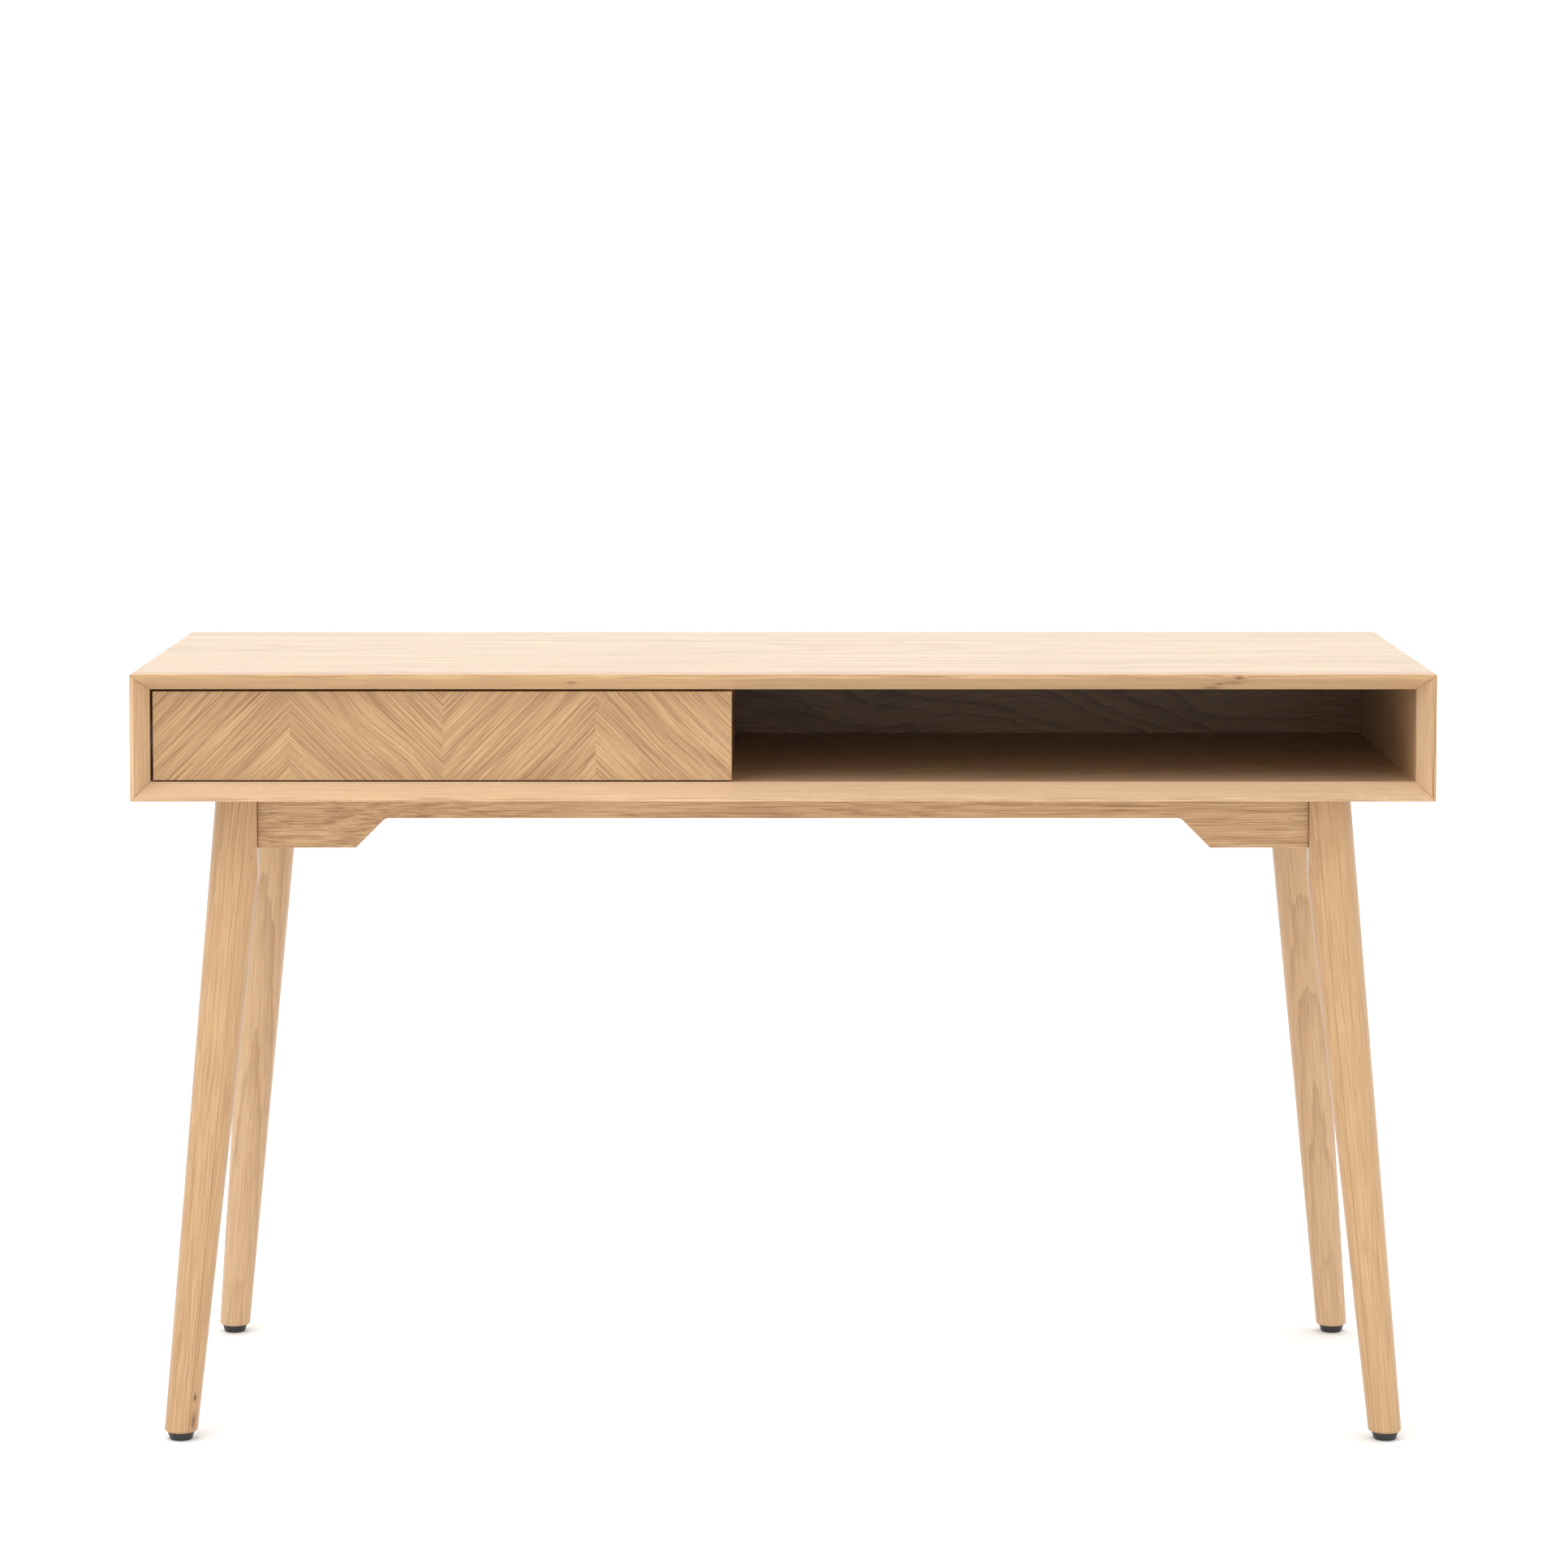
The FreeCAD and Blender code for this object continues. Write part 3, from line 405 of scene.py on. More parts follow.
class DeskStageSettings(bpy.types.PropertyGroup):
    camera_height: bpy.props.FloatProperty(
        name="Camera height",
        description="Height of the camera above the floor",
        subtype="DISTANCE",
        unit="LENGTH",
        default=1.2144,
    )
    camera_distance: bpy.props.FloatProperty(
        name="Camera distance",
        description="Distance from the camera to the middle of the desk",
        subtype="DISTANCE",
        unit="LENGTH",
        default=4.8866,
    )
    camera_side: bpy.props.FloatProperty(
        name="Camera offset",
        description="How far the camera stands to the right of the middle",
        subtype="DISTANCE",
        unit="LENGTH",
        default=0.001,
    )
    lens: bpy.props.FloatProperty(
        name="Lens",
        description="Focal length on a 36 mm wide sensor",
        default=107.59,
    )
    pitch: bpy.props.FloatProperty(
        name="Camera pitch",
        description="How far the camera looks down",
        subtype="ANGLE",
        unit="ROTATION",
        default=math.radians(3.875),
    )
    shift_y: bpy.props.FloatProperty(
        name="Shift down",
        description="Lens shift in picture widths, which keeps the legs from converging",
        default=-0.15,
    )
    sky: bpy.props.FloatProperty(
        name="Surround",
        description="Brightness of the white surround",
        default=1.34,
    )
    overhead: bpy.props.FloatProperty(
        name="Overhead softbox",
        description="Power of the large softbox above the desk",
        subtype="POWER",
        unit="POWER",
        default=14.0,
    )
    front: bpy.props.FloatProperty(
        name="Front softbox",
        description="Power of the softbox high in front of the desk",
        subtype="POWER",
        unit="POWER",
        default=30.0,
    )
    fill: bpy.props.FloatProperty(
        name="Low reflector",
        description="Power of the reflector card on the floor in front of the desk",
        subtype="POWER",
        unit="POWER",
        default=7.0,
    )
    floor: bpy.props.FloatVectorProperty(
        name="Floor",
        description="Colour of the studio floor",
        subtype="COLOR",
        min=0,
        max=1,
        default=(0.9, 0.9, 0.9),
    )


# ---------------------------------------------------------------- materials

class Board:
    """A piece of wood: the direction of its fibres, two directions across them and the shaded point."""

    def __init__(self, name, grain, across, seed):
        self.maker = Maker(name)
        self.seed = seed
        self.along = Vector(grain).normalized()
        side = Vector(across)
        self.side = (side - self.along * side.dot(self.along)).normalized()
        self.third = self.along.cross(self.side)
        self.point = self.maker.point()
        self.length = self.measure(self.point, self.along)
        self.a = self.measure(self.point, self.side)
        self.b = self.measure(self.point, self.third)

    def measure(self, point, direction):
        """How far a point lies along a direction."""
        return self.maker.vector("DOT_PRODUCT", point, tuple(direction))

    def noise(self, pattern, length):
        place = [length / pattern.long, self.a / pattern.wide, self.b / pattern.wide]
        place[pattern.seeded] = place[pattern.seeded] + self.seed
        return self.maker.noise(self.maker.combine(*place), pattern.detail, pattern.roughness)

    def mark(self, pattern, length):
        return self.noise(pattern, length).ramp(*pattern.edge)

    def bend(self, eddy, push):
        """Bends the fibres round a knot or a swirl."""
        middle = Vector((eddy.x, eddy.y, eddy.z))
        da = (self.a - middle.dot(self.side)) / eddy.size
        dl = (self.length - middle.dot(self.along)) / (EDDY_LENGTH * eddy.size)
        near = 1 / (1 + da * da + dl * dl)
        self.a = self.a + near * near * (eddy.size * push)

    def knotted(self, colour, knot, streak, look):
        """Draws a knot over a colour: a ragged dark ring round a darker middle."""
        offset = self.maker.vector("SUBTRACT", self.point, (knot.x, knot.y, knot.z))
        out_a = self.measure(offset, self.side)
        out_b = self.measure(offset, self.third)
        out_l = self.measure(offset, self.along) * KNOT_FLATTENING
        far = (out_a * out_a + out_b * out_b + out_l * out_l).math("SQRT")
        ragged = far / knot.size + streak * KNOT_RAGGED
        ring = (1 - ragged.ramp(*KNOT_RING_EDGE)) * KNOT_RING_SHADE * knot.dark
        heart = (1 - ragged.ramp(*KNOT_HEART_EDGE)) * KNOT_HEART_SHADE * knot.dark
        colour = self.maker.mix(ring, colour, tuple(look.pore))
        return self.maker.mix(heart, colour, tuple(look.knot))

    def mitre(self):
        """1 on the glue line of the case's mitres, 0 away from it."""
        outputs = self.maker.node("ShaderNodeSeparateXYZ", None, {"Vector": self.point})
        from_side = CASE_HALF_WIDTH - outputs["X"].absolute()
        from_edge = CASE_HALF_HEIGHT - (outputs["Z"] - CASE_MIDDLE).absolute()
        return 1 - (from_side - from_edge).absolute().ramp(*MITRE_EDGE)


def oak(name, grain, pith_side, pith, seed, taper=0.02, tone=0.0, contrast=1.0, flecks=0.0,
        ring=1.0, figure=1.0, knots=(), swirls=(), seam=None, gloss=0.0, tint=None, painted_light=None,
        mitred=False, broad=0.34, stretch=1.0):
    """Lacquered oak cut from a log.

    grain is the direction of the fibres and pith_side a direction across them. pith gives the log's heart
    in millimetres, measured along pith_side and along the third direction. taper leans the rings against
    the fibres, which draws the arches of crown-cut boards. tone above 0 makes a board paler and below 0
    darker, contrast strengthens its marks and tint multiplies its colour. flecks is the strength of its
    rays. ring widens its year rings and figure makes them plainer to see. knots and swirls bend the
    fibres, and a knot is drawn as well. seam is the level along pith_side where two staves are glued.
    gloss is the weight of the lacquer's coat. The painted light argument gives a direction, the level
    along it past which the
    wood is made paler, and by how much: painted light standing in for light and shade on faces such as
    the lippings' bevels. mitred draws the glue line of the case's mitres, broad is the strength of the
    wide soft streaks, and stretch makes all streaks longer.
    """
    look = bpy.context.scene.desk_oak
    board = Board(name, grain, pith_side, seed)
    maker = board.maker
    if seam is not None:
        stave = board.a.math("GREATER_THAN", seam)
        glue = 1 - (board.a - seam).absolute().ramp(*SEAM_EDGE)
        board.b = board.b + stave * STAVE_STEP
        board.length = board.length + stave * STAVE_STEPS_ALONG * STAVE_STEP
    for knot in knots:
        board.bend(knot, KNOT_PUSH)
    for swirl in swirls:
        board.bend(swirl, swirl.push)

    length = board.length
    run = length / stretch
    board.a = board.a + (board.noise(WANDER, run) - 0.5) * FIBRE_WANDER
    drift = board.noise(DRIFT, run) - 0.5
    heart_a = board.a - pith[0] + drift * HEART_DRIFT
    heart_b = board.b - pith[1] + length * taper
    radius = (heart_a * heart_a + heart_b * heart_b).math("SQRT")
    ripple = board.noise(RIPPLE, run) - 0.5
    years = radius / (look.ring_width / MM * ring) + ripple * RING_RIPPLE
    uneven = maker.noise(maker.combine(radius / UNEVEN_SCALE, seed, 0.0), detail=1.0)
    phase = (years + uneven * RING_UNEVEN).fraction()
    vigour_place = maker.combine(radius / VIGOUR_WIDE, seed + VIGOUR_SEED, length / VIGOUR_LONG)
    vigour = maker.noise(vigour_place, detail=1.0).ramp(*VIGOUR_EDGE)
    openness = LEAST_VIGOUR + (1 - LEAST_VIGOUR) * vigour
    earlywood = ((1 - phase) ** RING_THINNING) * phase.ramp(*RING_START) * openness

    streak = board.noise(STREAK, run) - 0.5
    band = board.noise(BAND, run) - 0.5
    cloud = board.noise(CLOUD, run) - 0.5
    lines = board.mark(LINE, run) * (LINES_OUTSIDE_RINGS + (1 - LINES_OUTSIDE_RINGS) * earlywood)
    pores = board.mark(PORE, length) * (PORES_OUTSIDE_RINGS + (1 - PORES_OUTSIDE_RINGS) * earlywood)

    grain_mark = streak * STREAK_SHADE + band * BAND_SHADE + cloud * broad
    depth = BASE_SHADE + contrast * grain_mark + figure * (earlywood - RING_MEAN) * RING_SHADE
    colour = maker.mix(depth, tuple(look.latewood), tuple(look.earlywood))
    colour = maker.mix(lines * LINE_SHADE * contrast, colour, tuple(look.pore))
    colour = maker.mix(pores * PORE_SHADE * contrast, colour, tuple(look.pore))
    shine = 0.0
    if flecks:
        angle = maker.math("ARCTAN2", heart_a, heart_b)
        slant = length / RAYS_LONG + radius / RAYS_SLANT
        ray_place = maker.combine(angle * RAYS_ROUND, slant, radius / RAYS_OUT + seed)
        rays = maker.noise(ray_place, detail=1.0).ramp(*RAY_EDGE)
        shine = rays * board.mark(RAY_PATCH, length) * flecks
        colour = maker.mix(shine, colour, tuple(look.ray))
    if tone > 0:
        colour = maker.mix(tone, colour, tuple(look.ray))
    elif tone < 0:
        darker = tuple(1 + share * tone for share in DARKENING)
        colour = maker.mix(1.0, colour, darker, "MULTIPLY")
    if tint:
        colour = maker.mix(1.0, colour, tint, "MULTIPLY")
    # Painted light: the face past the given level is made paler, standing in for light that falls
    # differently on it.
    if painted_light:
        past = board.measure(board.point, painted_light.facing) - painted_light.level
        colour = maker.mix(past.ramp(*PAINTED_LIGHT_EDGE) * painted_light.paler, colour, tuple(look.ray))
    if seam is not None:
        colour = maker.mix(glue * SEAM_SHADE, colour, tuple(look.pore))
        colour = maker.mix(stave * STAVE_PALER, colour, tuple(look.latewood))
    for knot in knots:
        colour = board.knotted(colour, knot, streak, look)
    if mitred:
        colour = maker.mix(board.mitre() * MITRE_SHADE, colour, tuple(look.pore))

    lacquer = look.sheen_roughness + pores * PORE_ROUGHNESS + streak * STREAK_ROUGHNESS
    roughness = lacquer - shine * RAY_GLOSS
    height = RELIEF_LEVEL - pores * PORE_RELIEF - lines * LINE_RELIEF + streak * STREAK_RELIEF
    return maker.surface(colour, roughness, height, OAK_RELIEF, Coat_Weight=gloss,
                         Coat_Roughness=COAT_ROUGHNESS)


def dress(node, material):
    """Gives a CAD node its finish."""
    mesh = NODES[node].data
    mesh.materials.clear()
    mesh.materials.append(material)


def shade_of(colour, strength):
    """A colour made darker, or paler above 1."""
    return tuple(strength * v for v in colour)


def plastic(name, colour, roughness):
    """Moulded plastic with a fine spark-eroded grain."""
    maker = Maker(name)
    point = maker.point()
    grain = maker.noise(maker.vector("SCALE", point, scale=PLASTIC_GRAIN), detail=2.0)
    wear = maker.noise(maker.vector("SCALE", point, scale=PLASTIC_WEAR), detail=3.0)
    worn = tuple(min(1.0, v + 0.01) for v in shade_of(colour, 1.6))
    shade = maker.mix(wear.ramp(0.35, 0.75) * 0.35, colour, worn)
    rough = roughness + (wear - 0.5) * 0.16
    return maker.surface(shade, rough, grain, PLASTIC_RELIEF)


def zinc(name, colour, roughness):
    """Zinc-plated steel with fine drawing lines along the desk's depth and a faint mottle."""
    maker = Maker(name)
    point = maker.point()
    lines = maker.noise(maker.vector("MULTIPLY", point, ZINC_LINES), detail=2.0)
    mottle = maker.noise(maker.vector("SCALE", point, scale=ZINC_MOTTLE), detail=3.0)
    shade = maker.mix(mottle.ramp(0.3, 0.75) * 0.5, colour, shade_of(colour, 0.72))
    rough = roughness + (mottle - 0.5) * 0.2 + (lines - 0.5) * 0.1
    return maker.surface(shade, rough, lines, ZINC_RELIEF, metallic=1.0)


def pale_wood(name, colour, grain, seed):
    """Close-grained beech or birch with short flecks."""
    along = Vector(grain).normalized()
    board = Board(name, grain, (along.y, along.z, along.x), seed)
    maker = board.maker
    bands = board.mark(PALE_BAND, board.length)
    flecks = board.mark(PALE_FLECK, board.length)
    fibre = board.noise(PALE_FIBRE, board.length)
    shade = maker.mix(bands * 0.5, colour, shade_of(colour, 0.80))
    shade = maker.mix(fibre.ramp(*PALE_FIBRE.edge) * 0.25, shade, shade_of(colour, 0.66))
    shade = maker.mix(flecks * 0.35, shade, shade_of(colour, 0.55))
    rough = 0.55 + (fibre - 0.5) * 0.15
    return maker.surface(shade, rough, 1 - flecks * 0.7, PALE_RELIEF)


# ---------------------------------------------------------------- places and colours

# Painted light on the lippings' bevels: past the 4 mm flat each bevel is made paler, standing in for the
# light it gets facing down, up or sideways; where the flat ends on each lipping, and by how much.
TOP_BEVEL_PAINTED_LIGHT = PaintedFaceLight((0, 0, -1), LIPPING_FLAT - CASE_TOP, 0.30)
BOTTOM_BEVEL_PAINTED_LIGHT = PaintedFaceLight(Z_AXIS, CASE_BOTTOM + LIPPING_FLAT, 0.48)
RIGHT_BEVEL_PAINTED_LIGHT = PaintedFaceLight((-1, 0, 0), LIPPING_FLAT - CASE_HALF_WIDTH, 0.42)

# A pin knot to the left on the top lipping, and a burr of two pins in a darker patch to the right.
TOP_KNOTS = (
    Knot(-210.8, -240.6, 766.0, 2.6, 1.0),
    Knot(453.4, -250.0, 771.4, 2.6, 0.9),
    Knot(434.8, -237.5, 764.5, 2.6, 0.9),
    Knot(448.0, -240.6, 766.2, 6.0, 0.4),
    Knot(427.5, -229.0, 760.0, 6.0, 0.45),
)
BACK_SWIRLS = (
    Swirl(70, 235, 690, 60, 0.35),
    Swirl(265, 235, 728, 80, -0.3),
    Swirl(470, 235, 690, 60, 0.35),
)
RAIL_SWIRLS = (Swirl(-480, -183, 668, 90, 0.09),)

# The drawer front's leaves from the left: grain, heart of the log, seed, rays and swirls.
RISING = (1, 0, 1)
FALLING = (1, 0, -1)
CHEVRON_LEAVES = (
    (RISING, (470, 310), 11.2, 0.0, ()),
    (FALLING, (690, 420), 12.9, 0.12,
     (Swirl(-423, -230, 727, 24, 0.22), Swirl(-372, -230, 686, 22, -0.18))),
    (RISING, (600, 380), 14.3, 0.0, ()),
    (FALLING, (-250, 450), 16.6, 0.12, (Swirl(-110, -230, 713, 26, 0.16),)),
)

# Legs: the log's heart from the leg's axis, where the staves meet, and knots from the foot's middle.
FRONT_PITH = (60, 75)
REAR_PITH = 34
LEFT_SEAM = 9.5
RIGHT_SEAM = -12.0
LEG_KNOTS = {"front_left": ((15.6, -8.7, 44.0, 2.2, 1.0), (13.9, -9.5, 20.0, 5.0, 0.6))}
LEG_SEED = 30.0
LEG_SEED_STEP = 3.7

BIRCH = srgb(188, 158, 120)
BEECH = srgb(184, 144, 104)
PLYWOOD = srgb(194, 166, 130)
ZINC_PLATE = srgb(205, 207, 210)
BLACK_PLASTIC = srgb(34, 34, 36)
GREY_PLASTIC = srgb(186, 187, 188)
SPRING_WIRE = srgb(150, 152, 156)
WIRE_SIDES = 12

# The studio, in metres. Each light has its place, the point it aims at, and its width and height.
FLOOR_SIZE = 60.0
FLOOR_ROUGHNESS = 0.9
OVERHEAD_BOX = ((0, 0.3, 3.2), (0, 0.1, 0.7), (3.6, 2.4))
FRONT_BOX = ((-1.6, -1.9, 3.2), (0, 0, 0.5), (2.4, 1.4))
LOW_REFLECTOR = ((0, -1.7, 0.05), (0, -0.35, 0.75), (2.2, 0.7))
# The surround is dimmer towards the front, from the first value of the direction's share to the second.
SURROUND_EDGE = (0.55, 0.95)
SENSOR_WIDTH = 36.0


# ---------------------------------------------------------------- operators

class DESK_OT_case(bpy.types.Operator):
    """Finish the case: four mitred panels, their bevelled lippings, the divider and the back"""

    bl_idname = "desk.case"
    bl_label = "Case"

    def execute(self, context):
        panels = {
            "top_panel": oak("oak_top", X_AXIS, Y_AXIS, (60, -300), 3.1, tone=0.06, contrast=1.5,
                             figure=1.5, gloss=0.24, tint=(0.97, 1.0, 0.90), broad=0.9, stretch=2.8),
            "bottom_panel": oak("oak_bottom", X_AXIS, Y_AXIS, (-90, -260), 7.4, tone=0.12, contrast=0.9,
                                tint=(0.94, 1.0, 1.22)),
            "left_side_panel": oak("oak_left_side", Z_AXIS, Y_AXIS, (260, 150), 1.7, tone=0.24),
            "right_side_panel": oak("oak_right_side", Z_AXIS, Y_AXIS, (-240, -170), 5.2, tone=0.18),
            "divider_panel": oak("oak_divider", Z_AXIS, Y_AXIS, (120, 210), 9.3),
            # Painted shade: the whole back panel is darkened for the shade in the deep shelf it closes,
            # and its outer back face, past the panel's middle, is made paler again.
            "back_panel": oak("oak_back", X_AXIS, Z_AXIS, (742, -75), 0.6, taper=0.10, tone=-0.46,
                              contrast=0.8, ring=2.6, figure=2.8, swirls=BACK_SWIRLS,
                              painted_light=PaintedFaceLight(Y_AXIS, BACK_PANEL_MIDDLE, 0.35)),
        }
        lippings = {
            "top_lipping": oak("oak_top_lipping", X_AXIS, Y_AXIS, (-500, 640), 2.3, taper=0.01, tone=0.04,
                               contrast=0.9, knots=TOP_KNOTS, painted_light=TOP_BEVEL_PAINTED_LIGHT, mitred=True),
            "bottom_lipping": oak("oak_bottom_lipping", X_AXIS, Y_AXIS, (-420, 560), 8.8, taper=0.01,
                                  tone=0.18, contrast=1.1, flecks=0.25, painted_light=BOTTOM_BEVEL_PAINTED_LIGHT, mitred=True),
            "left_side_lipping": oak("oak_left_lipping", Z_AXIS, Y_AXIS, (-430, -520), 4.6, tone=0.38,
                                     contrast=0.9, mitred=True),
            "right_side_lipping": oak("oak_right_lipping", Z_AXIS, Y_AXIS, (-390, 480), 6.9, tone=-0.05,
                                      contrast=0.9, painted_light=RIGHT_BEVEL_PAINTED_LIGHT, mitred=True),
        }
        for node, material in (panels | lippings).items():
            dress(node, material)
        return {"FINISHED"}


class DESK_OT_drawer_front(bpy.types.Operator):
    """Finish the drawer front: four veneer leaves whose grain meets in a chevron, and their core"""

    bl_idname = "desk.drawer_front"
    bl_label = "Drawer front"

    def execute(self, context):
        for k, (grain, pith, seed, flecks, swirls) in enumerate(CHEVRON_LEAVES, start=1):
            material = oak("oak_chevron_%d" % k, grain, Z_AXIS, pith, seed, taper=0.015, tone=-0.085,
                           flecks=flecks, swirls=swirls)
            dress("drawer_veneer_leaf_%d" % k, material)
        dress("drawer_front_core", oak("oak_drawer_core", X_AXIS, Y_AXIS, (80, 400), 17.5))
        return {"FINISHED"}


class DESK_OT_drawer_box(bpy.types.Operator):
    """Finish the drawer box inside: walls, plywood bottom and dowels"""

    bl_idname = "desk.drawer_box"
    bl_label = "Drawer box"

    def execute(self, context):
        across = pale_wood("birch_across", BIRCH, X_AXIS, 21.0)
        deep = pale_wood("birch_deep", BIRCH, Y_AXIS, 22.0)
        dress("drawer_left_side", deep)
        dress("drawer_right_side", deep)
        dress("drawer_box_front", across)
        dress("drawer_box_back", across)
        dress("drawer_bottom", pale_wood("birch_plywood", PLYWOOD, X_AXIS, 23.0))
        dress("drawer_dowels", pale_wood("beech_dowel", BEECH, X_AXIS, 24.0))
        return {"FINISHED"}


def leg_material(corner, side, end, seed):
    """A turned leg: straight-grained and glued from two staves at the front, crown-cut at the back."""
    lean = Vector((-side * LEG_SPLAY[0], -end * LEG_SPLAY[1], 1.0)).normalized()
    across = (Vector(X_AXIS) - lean * lean.x).normalized()
    low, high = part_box(corner + "_glide")
    foot = (Vector(low) + Vector(high)) / 2 / MM
    axis_a = foot.dot(across)
    axis_b = foot.dot(lean.cross(across))
    name = "oak_%s_leg" % corner
    if end > 0:
        pith = (axis_a, axis_b + REAR_PITH)
        return oak(name, lean, across, pith, seed, taper=0.05, tone=0.20, contrast=0.55, ring=1.5,
                   figure=1.9)
    pith = (axis_a - FRONT_PITH[0] * side, axis_b + FRONT_PITH[1])
    seam = axis_a + (LEFT_SEAM if side < 0 else RIGHT_SEAM)
    knots = [Knot(foot.x + x, foot.y + y, *rest) for x, y, *rest in LEG_KNOTS.get(corner, ())]
    return oak(name, lean, across, pith, seed, taper=0.012, tone=0.04, contrast=0.55, figure=0.8,
               knots=knots, seam=seam)


class DESK_OT_leg_frame(bpy.types.Operator):
    """Finish the leg frame: four turned legs, four rails and the corner blocks"""

    bl_idname = "desk.leg_frame"
    bl_label = "Leg frame"

    def execute(self, context):
        for k, (corner, (side, end)) in enumerate(CORNERS.items()):
            seed = LEG_SEED + LEG_SEED_STEP * k
            dress(corner + "_leg", leg_material(corner, side, end, seed))
            dress(corner + "_corner_block", pale_wood("beech_%s_block" % corner, BEECH, Z_AXIS, seed))
        front = oak("oak_front_rail", X_AXIS, Y_AXIS, (-420, 560), 41.0, tone=-0.02, flecks=0.10,
                    swirls=RAIL_SWIRLS)
        dress("front_rail", front)
        dress("rear_rail", oak("oak_rear_rail", X_AXIS, Y_AXIS, (380, 500), 42.0, tone=-0.02))
        dress("left_rail", oak("oak_left_rail", Y_AXIS, X_AXIS, (-700, 560), 43.0))
        dress("right_rail", oak("oak_right_rail", Y_AXIS, X_AXIS, (700, 560), 44.0))
        dress("wood_dowels", pale_wood("beech_case_dowel", BEECH, Z_AXIS, 45.0))
        dress("mitre_splines", pale_wood("birch_spline", BIRCH, Y_AXIS, 46.0))
        return {"FINISHED"}


class DESK_OT_fittings(bpy.types.Operator):
    """Finish the metal and plastic: runners, screws, bolts, push latch and glides"""

    bl_idname = "desk.fittings"
    bl_label = "Fittings"

    def execute(self, context):
        bright = zinc("zinc_plate", ZINC_PLATE, 0.34)
        black = plastic("black_glide", BLACK_PLASTIC, 0.42)
        grey = plastic("grey_latch", GREY_PLASTIC, 0.45)
        runners = ("runner_cabinet_member", "runner_middle_member", "runner_drawer_member")
        strips = ("outer_ball_strip", "inner_ball_strip")
        for side in ("left", "right"):
            for piece in runners + strips:
                dress("%s_%s" % (side, piece), bright)
        for piece in (
            "runner_and_latch_screws",
            "runner_drawer_screws",
            "drawer_front_screws",
            "back_panel_screws",
            "frame_screws",
            "hanger_bolts",
            "hanger_washers",
            "hanger_nuts",
        ):
            dress(piece, bright)
        dress("latch_housing", grey)
        dress("latch_plunger", black)
        for corner in CORNERS:
            dress(corner + "_glide", black)
        return {"FINISHED"}


class DESK_OT_latch_spring(bpy.types.Operator):
    """Model the push latch's spring as a coil of wire in the CAD spring's place, and hide the CAD spring
    """

    bl_idname = "desk.latch_spring"
    bl_label = "Latch spring"

    def execute(self, context):
        look = context.scene.desk_spring
        low, high = (Vector(corner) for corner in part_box("latch_spring"))
        middle = (low + high) / 2
        wire = look.wire_radius
        coil_radius = (high.x - low.x) / 2 - wire
        length = high.y - low.y
        rise = length - 2 * wire
        bpy.ops.object.select_all(action="DESELECT")
        bpy.ops.mesh.primitive_circle_add(vertices=WIRE_SIDES, radius=wire, location=(0, 0, 0))
        coil = context.object
        coil.name = "latch_spring_coil"
        bpy.ops.object.mode_set(mode="EDIT")
        bpy.ops.mesh.select_all(action="SELECT")
        bpy.ops.transform.translate(value=(coil_radius, wire, 0))
        bpy.ops.object.mode_set(mode="OBJECT")
        sweep = coil.modifiers.new("sweep", "SCREW")
        sweep.axis = "Y"
        sweep.angle = 2 * math.pi
        sweep.iterations = look.turns
        sweep.screw_offset = rise / look.turns
        sweep.steps = look.steps_per_turn
        sweep.render_steps = look.steps_per_turn
        bpy.ops.object.modifier_apply(modifier=sweep.name)
        bpy.ops.object.mode_set(mode="EDIT")
        bpy.ops.mesh.select_all(action="SELECT")
        bpy.ops.mesh.fill_holes(sides=0)
        bpy.ops.mesh.select_all(action="SELECT")
        bpy.ops.mesh.normals_make_consistent(inside=False)
        bpy.ops.transform.translate(value=(middle.x, low.y, middle.z))
        bpy.ops.object.mode_set(mode="OBJECT")
        bpy.ops.object.shade_smooth()
        coil.data.materials.append(zinc("spring_wire", SPRING_WIRE, 0.3))
        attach(coil, "desk")
        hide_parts("latch_spring")
        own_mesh(coil)
        return {"FINISHED"}


def area_light(name, place, aim, size, power):
    """Adds a softbox that the camera doesn't see."""
    data = bpy.data.lights.new(name, "AREA")
    data.shape = "RECTANGLE"
    data.size, data.size_y = size
    data.energy = power
    lamp = bpy.data.objects.new(name, data)
    bpy.context.scene.collection.objects.link(lamp)
    lamp.location = place
    lamp.visible_camera = False
    lamp.rotation_euler = (Vector(aim) - Vector(place)).to_track_quat("-Z", "Y").to_euler()


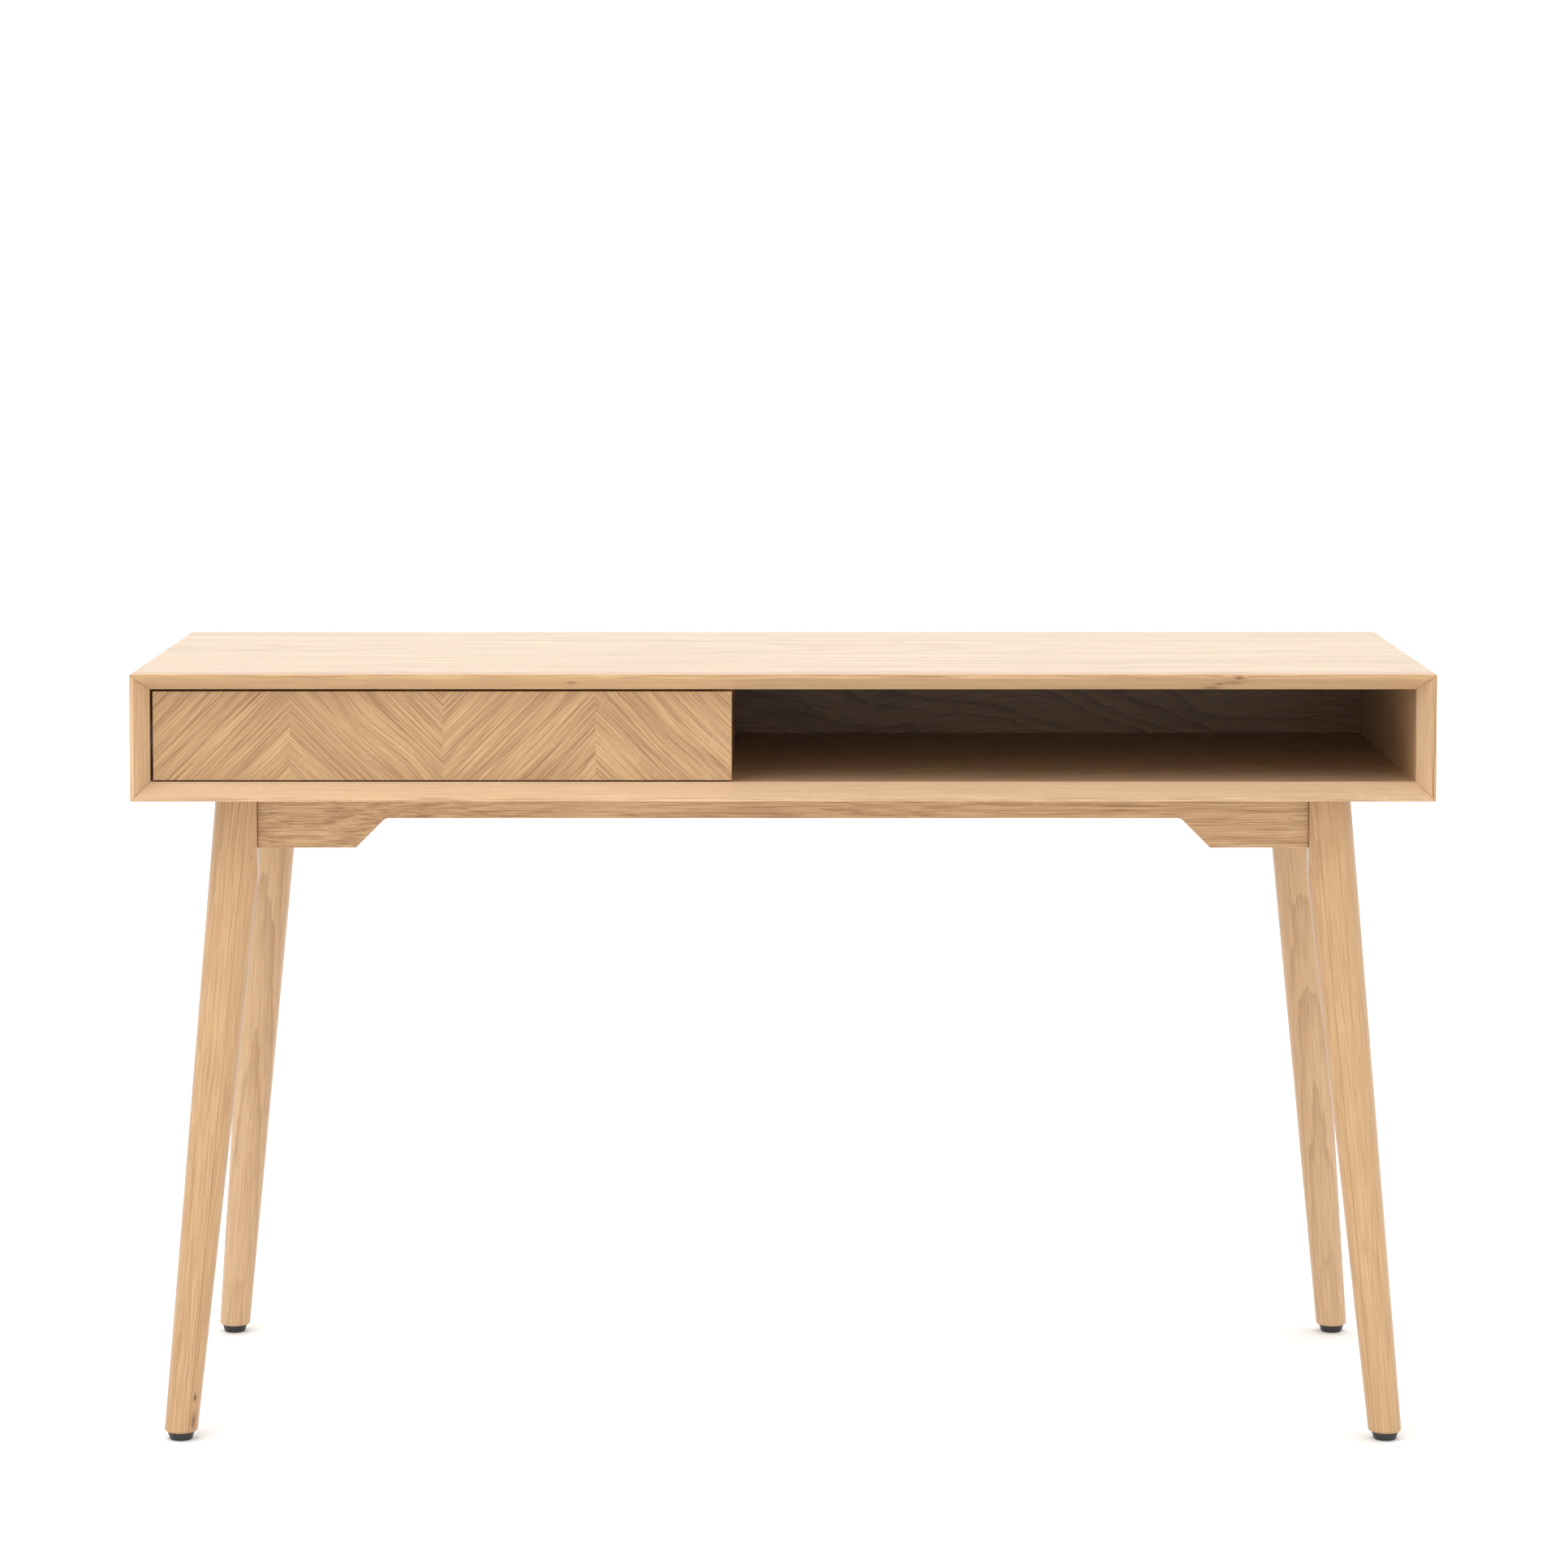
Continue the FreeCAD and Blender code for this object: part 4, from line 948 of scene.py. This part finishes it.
class DESK_OT_stage(bpy.types.Operator):
    """Build the studio: pale floor, white surround, soft lights and the camera"""

    bl_idname = "desk.stage"
    bl_label = "Stage"

    def execute(self, context):
        scene = context.scene
        look = scene.desk_stage
        bpy.ops.object.select_all(action="DESELECT")
        bpy.ops.mesh.primitive_plane_add(size=FLOOR_SIZE, location=(0, 0, 0))
        floor = context.object
        floor.name = "studio_floor"
        maker = Maker("studio_floor")
        floor.data.materials.append(maker.surface(tuple(look.floor), FLOOR_ROUGHNESS))

        world = bpy.data.worlds.new("white_surround")
        world.use_nodes = True
        scene.world = world
        maker = Maker("surround", world.node_tree)
        direction = maker.node("ShaderNodeTexCoord")["Generated"]
        towards_front = maker.vector("DOT_PRODUCT", direction, (0, -1, 0)).ramp(*SURROUND_EDGE)
        inputs = {"Color": (1, 1, 1, 1), "Strength": look.sky - towards_front * (look.sky - 1.0)}
        light = maker.node("ShaderNodeBackground", None, inputs)["Background"]
        maker.node("ShaderNodeOutputWorld", None, {"Surface": light})

        area_light("overhead_softbox", *OVERHEAD_BOX, look.overhead)
        area_light("front_softbox", *FRONT_BOX, look.front)
        area_light("low_reflector", *LOW_REFLECTOR, look.fill)

        data = bpy.data.cameras.new("camera")
        camera = bpy.data.objects.new("camera", data)
        scene.collection.objects.link(camera)
        camera.location = (look.camera_side, -look.camera_distance, look.camera_height)
        camera.rotation_euler = (math.radians(90) - look.pitch, 0, 0)
        data.sensor_width = SENSOR_WIDTH
        data.lens = look.lens
        data.shift_y = look.shift_y
        scene.camera = camera
        scene.view_settings.view_transform = "Standard"
        return {"FINISHED"}


OPERATORS = (
    DESK_OT_case,
    DESK_OT_drawer_front,
    DESK_OT_drawer_box,
    DESK_OT_leg_frame,
    DESK_OT_fittings,
    DESK_OT_latch_spring,
    DESK_OT_stage,
)


class DESK_PT_panel(bpy.types.Panel):
    bl_idname = "DESK_PT_panel"
    bl_label = "Writing desk"
    bl_space_type = "VIEW_3D"
    bl_region_type = "UI"
    bl_category = "Desk"

    def draw(self, context):
        scene = context.scene
        for settings in (scene.desk_oak, scene.desk_spring, scene.desk_stage):
            box = self.layout.box()
            for key in settings.__annotations__:
                box.prop(settings, key)
        for operator in OPERATORS:
            self.layout.operator(operator.bl_idname)


CLASSES = (DeskOakSettings, DeskSpringSettings, DeskStageSettings) + OPERATORS + (DESK_PT_panel,)


def register():
    for cls in CLASSES:
        bpy.utils.register_class(cls)
    bpy.types.Scene.desk_oak = bpy.props.PointerProperty(type=DeskOakSettings)
    bpy.types.Scene.desk_spring = bpy.props.PointerProperty(type=DeskSpringSettings)
    bpy.types.Scene.desk_stage = bpy.props.PointerProperty(type=DeskStageSettings)


def unregister():
    del bpy.types.Scene.desk_stage
    del bpy.types.Scene.desk_spring
    del bpy.types.Scene.desk_oak
    for cls in reversed(CLASSES):
        bpy.utils.unregister_class(cls)


def main():
    register()
    bpy.ops.desk.case()
    bpy.ops.desk.drawer_front()
    bpy.ops.desk.drawer_box()
    bpy.ops.desk.leg_frame()
    bpy.ops.desk.fittings()
    bpy.ops.desk.latch_spring()
    bpy.ops.desk.stage()


if __name__ == "__main__":
    main()
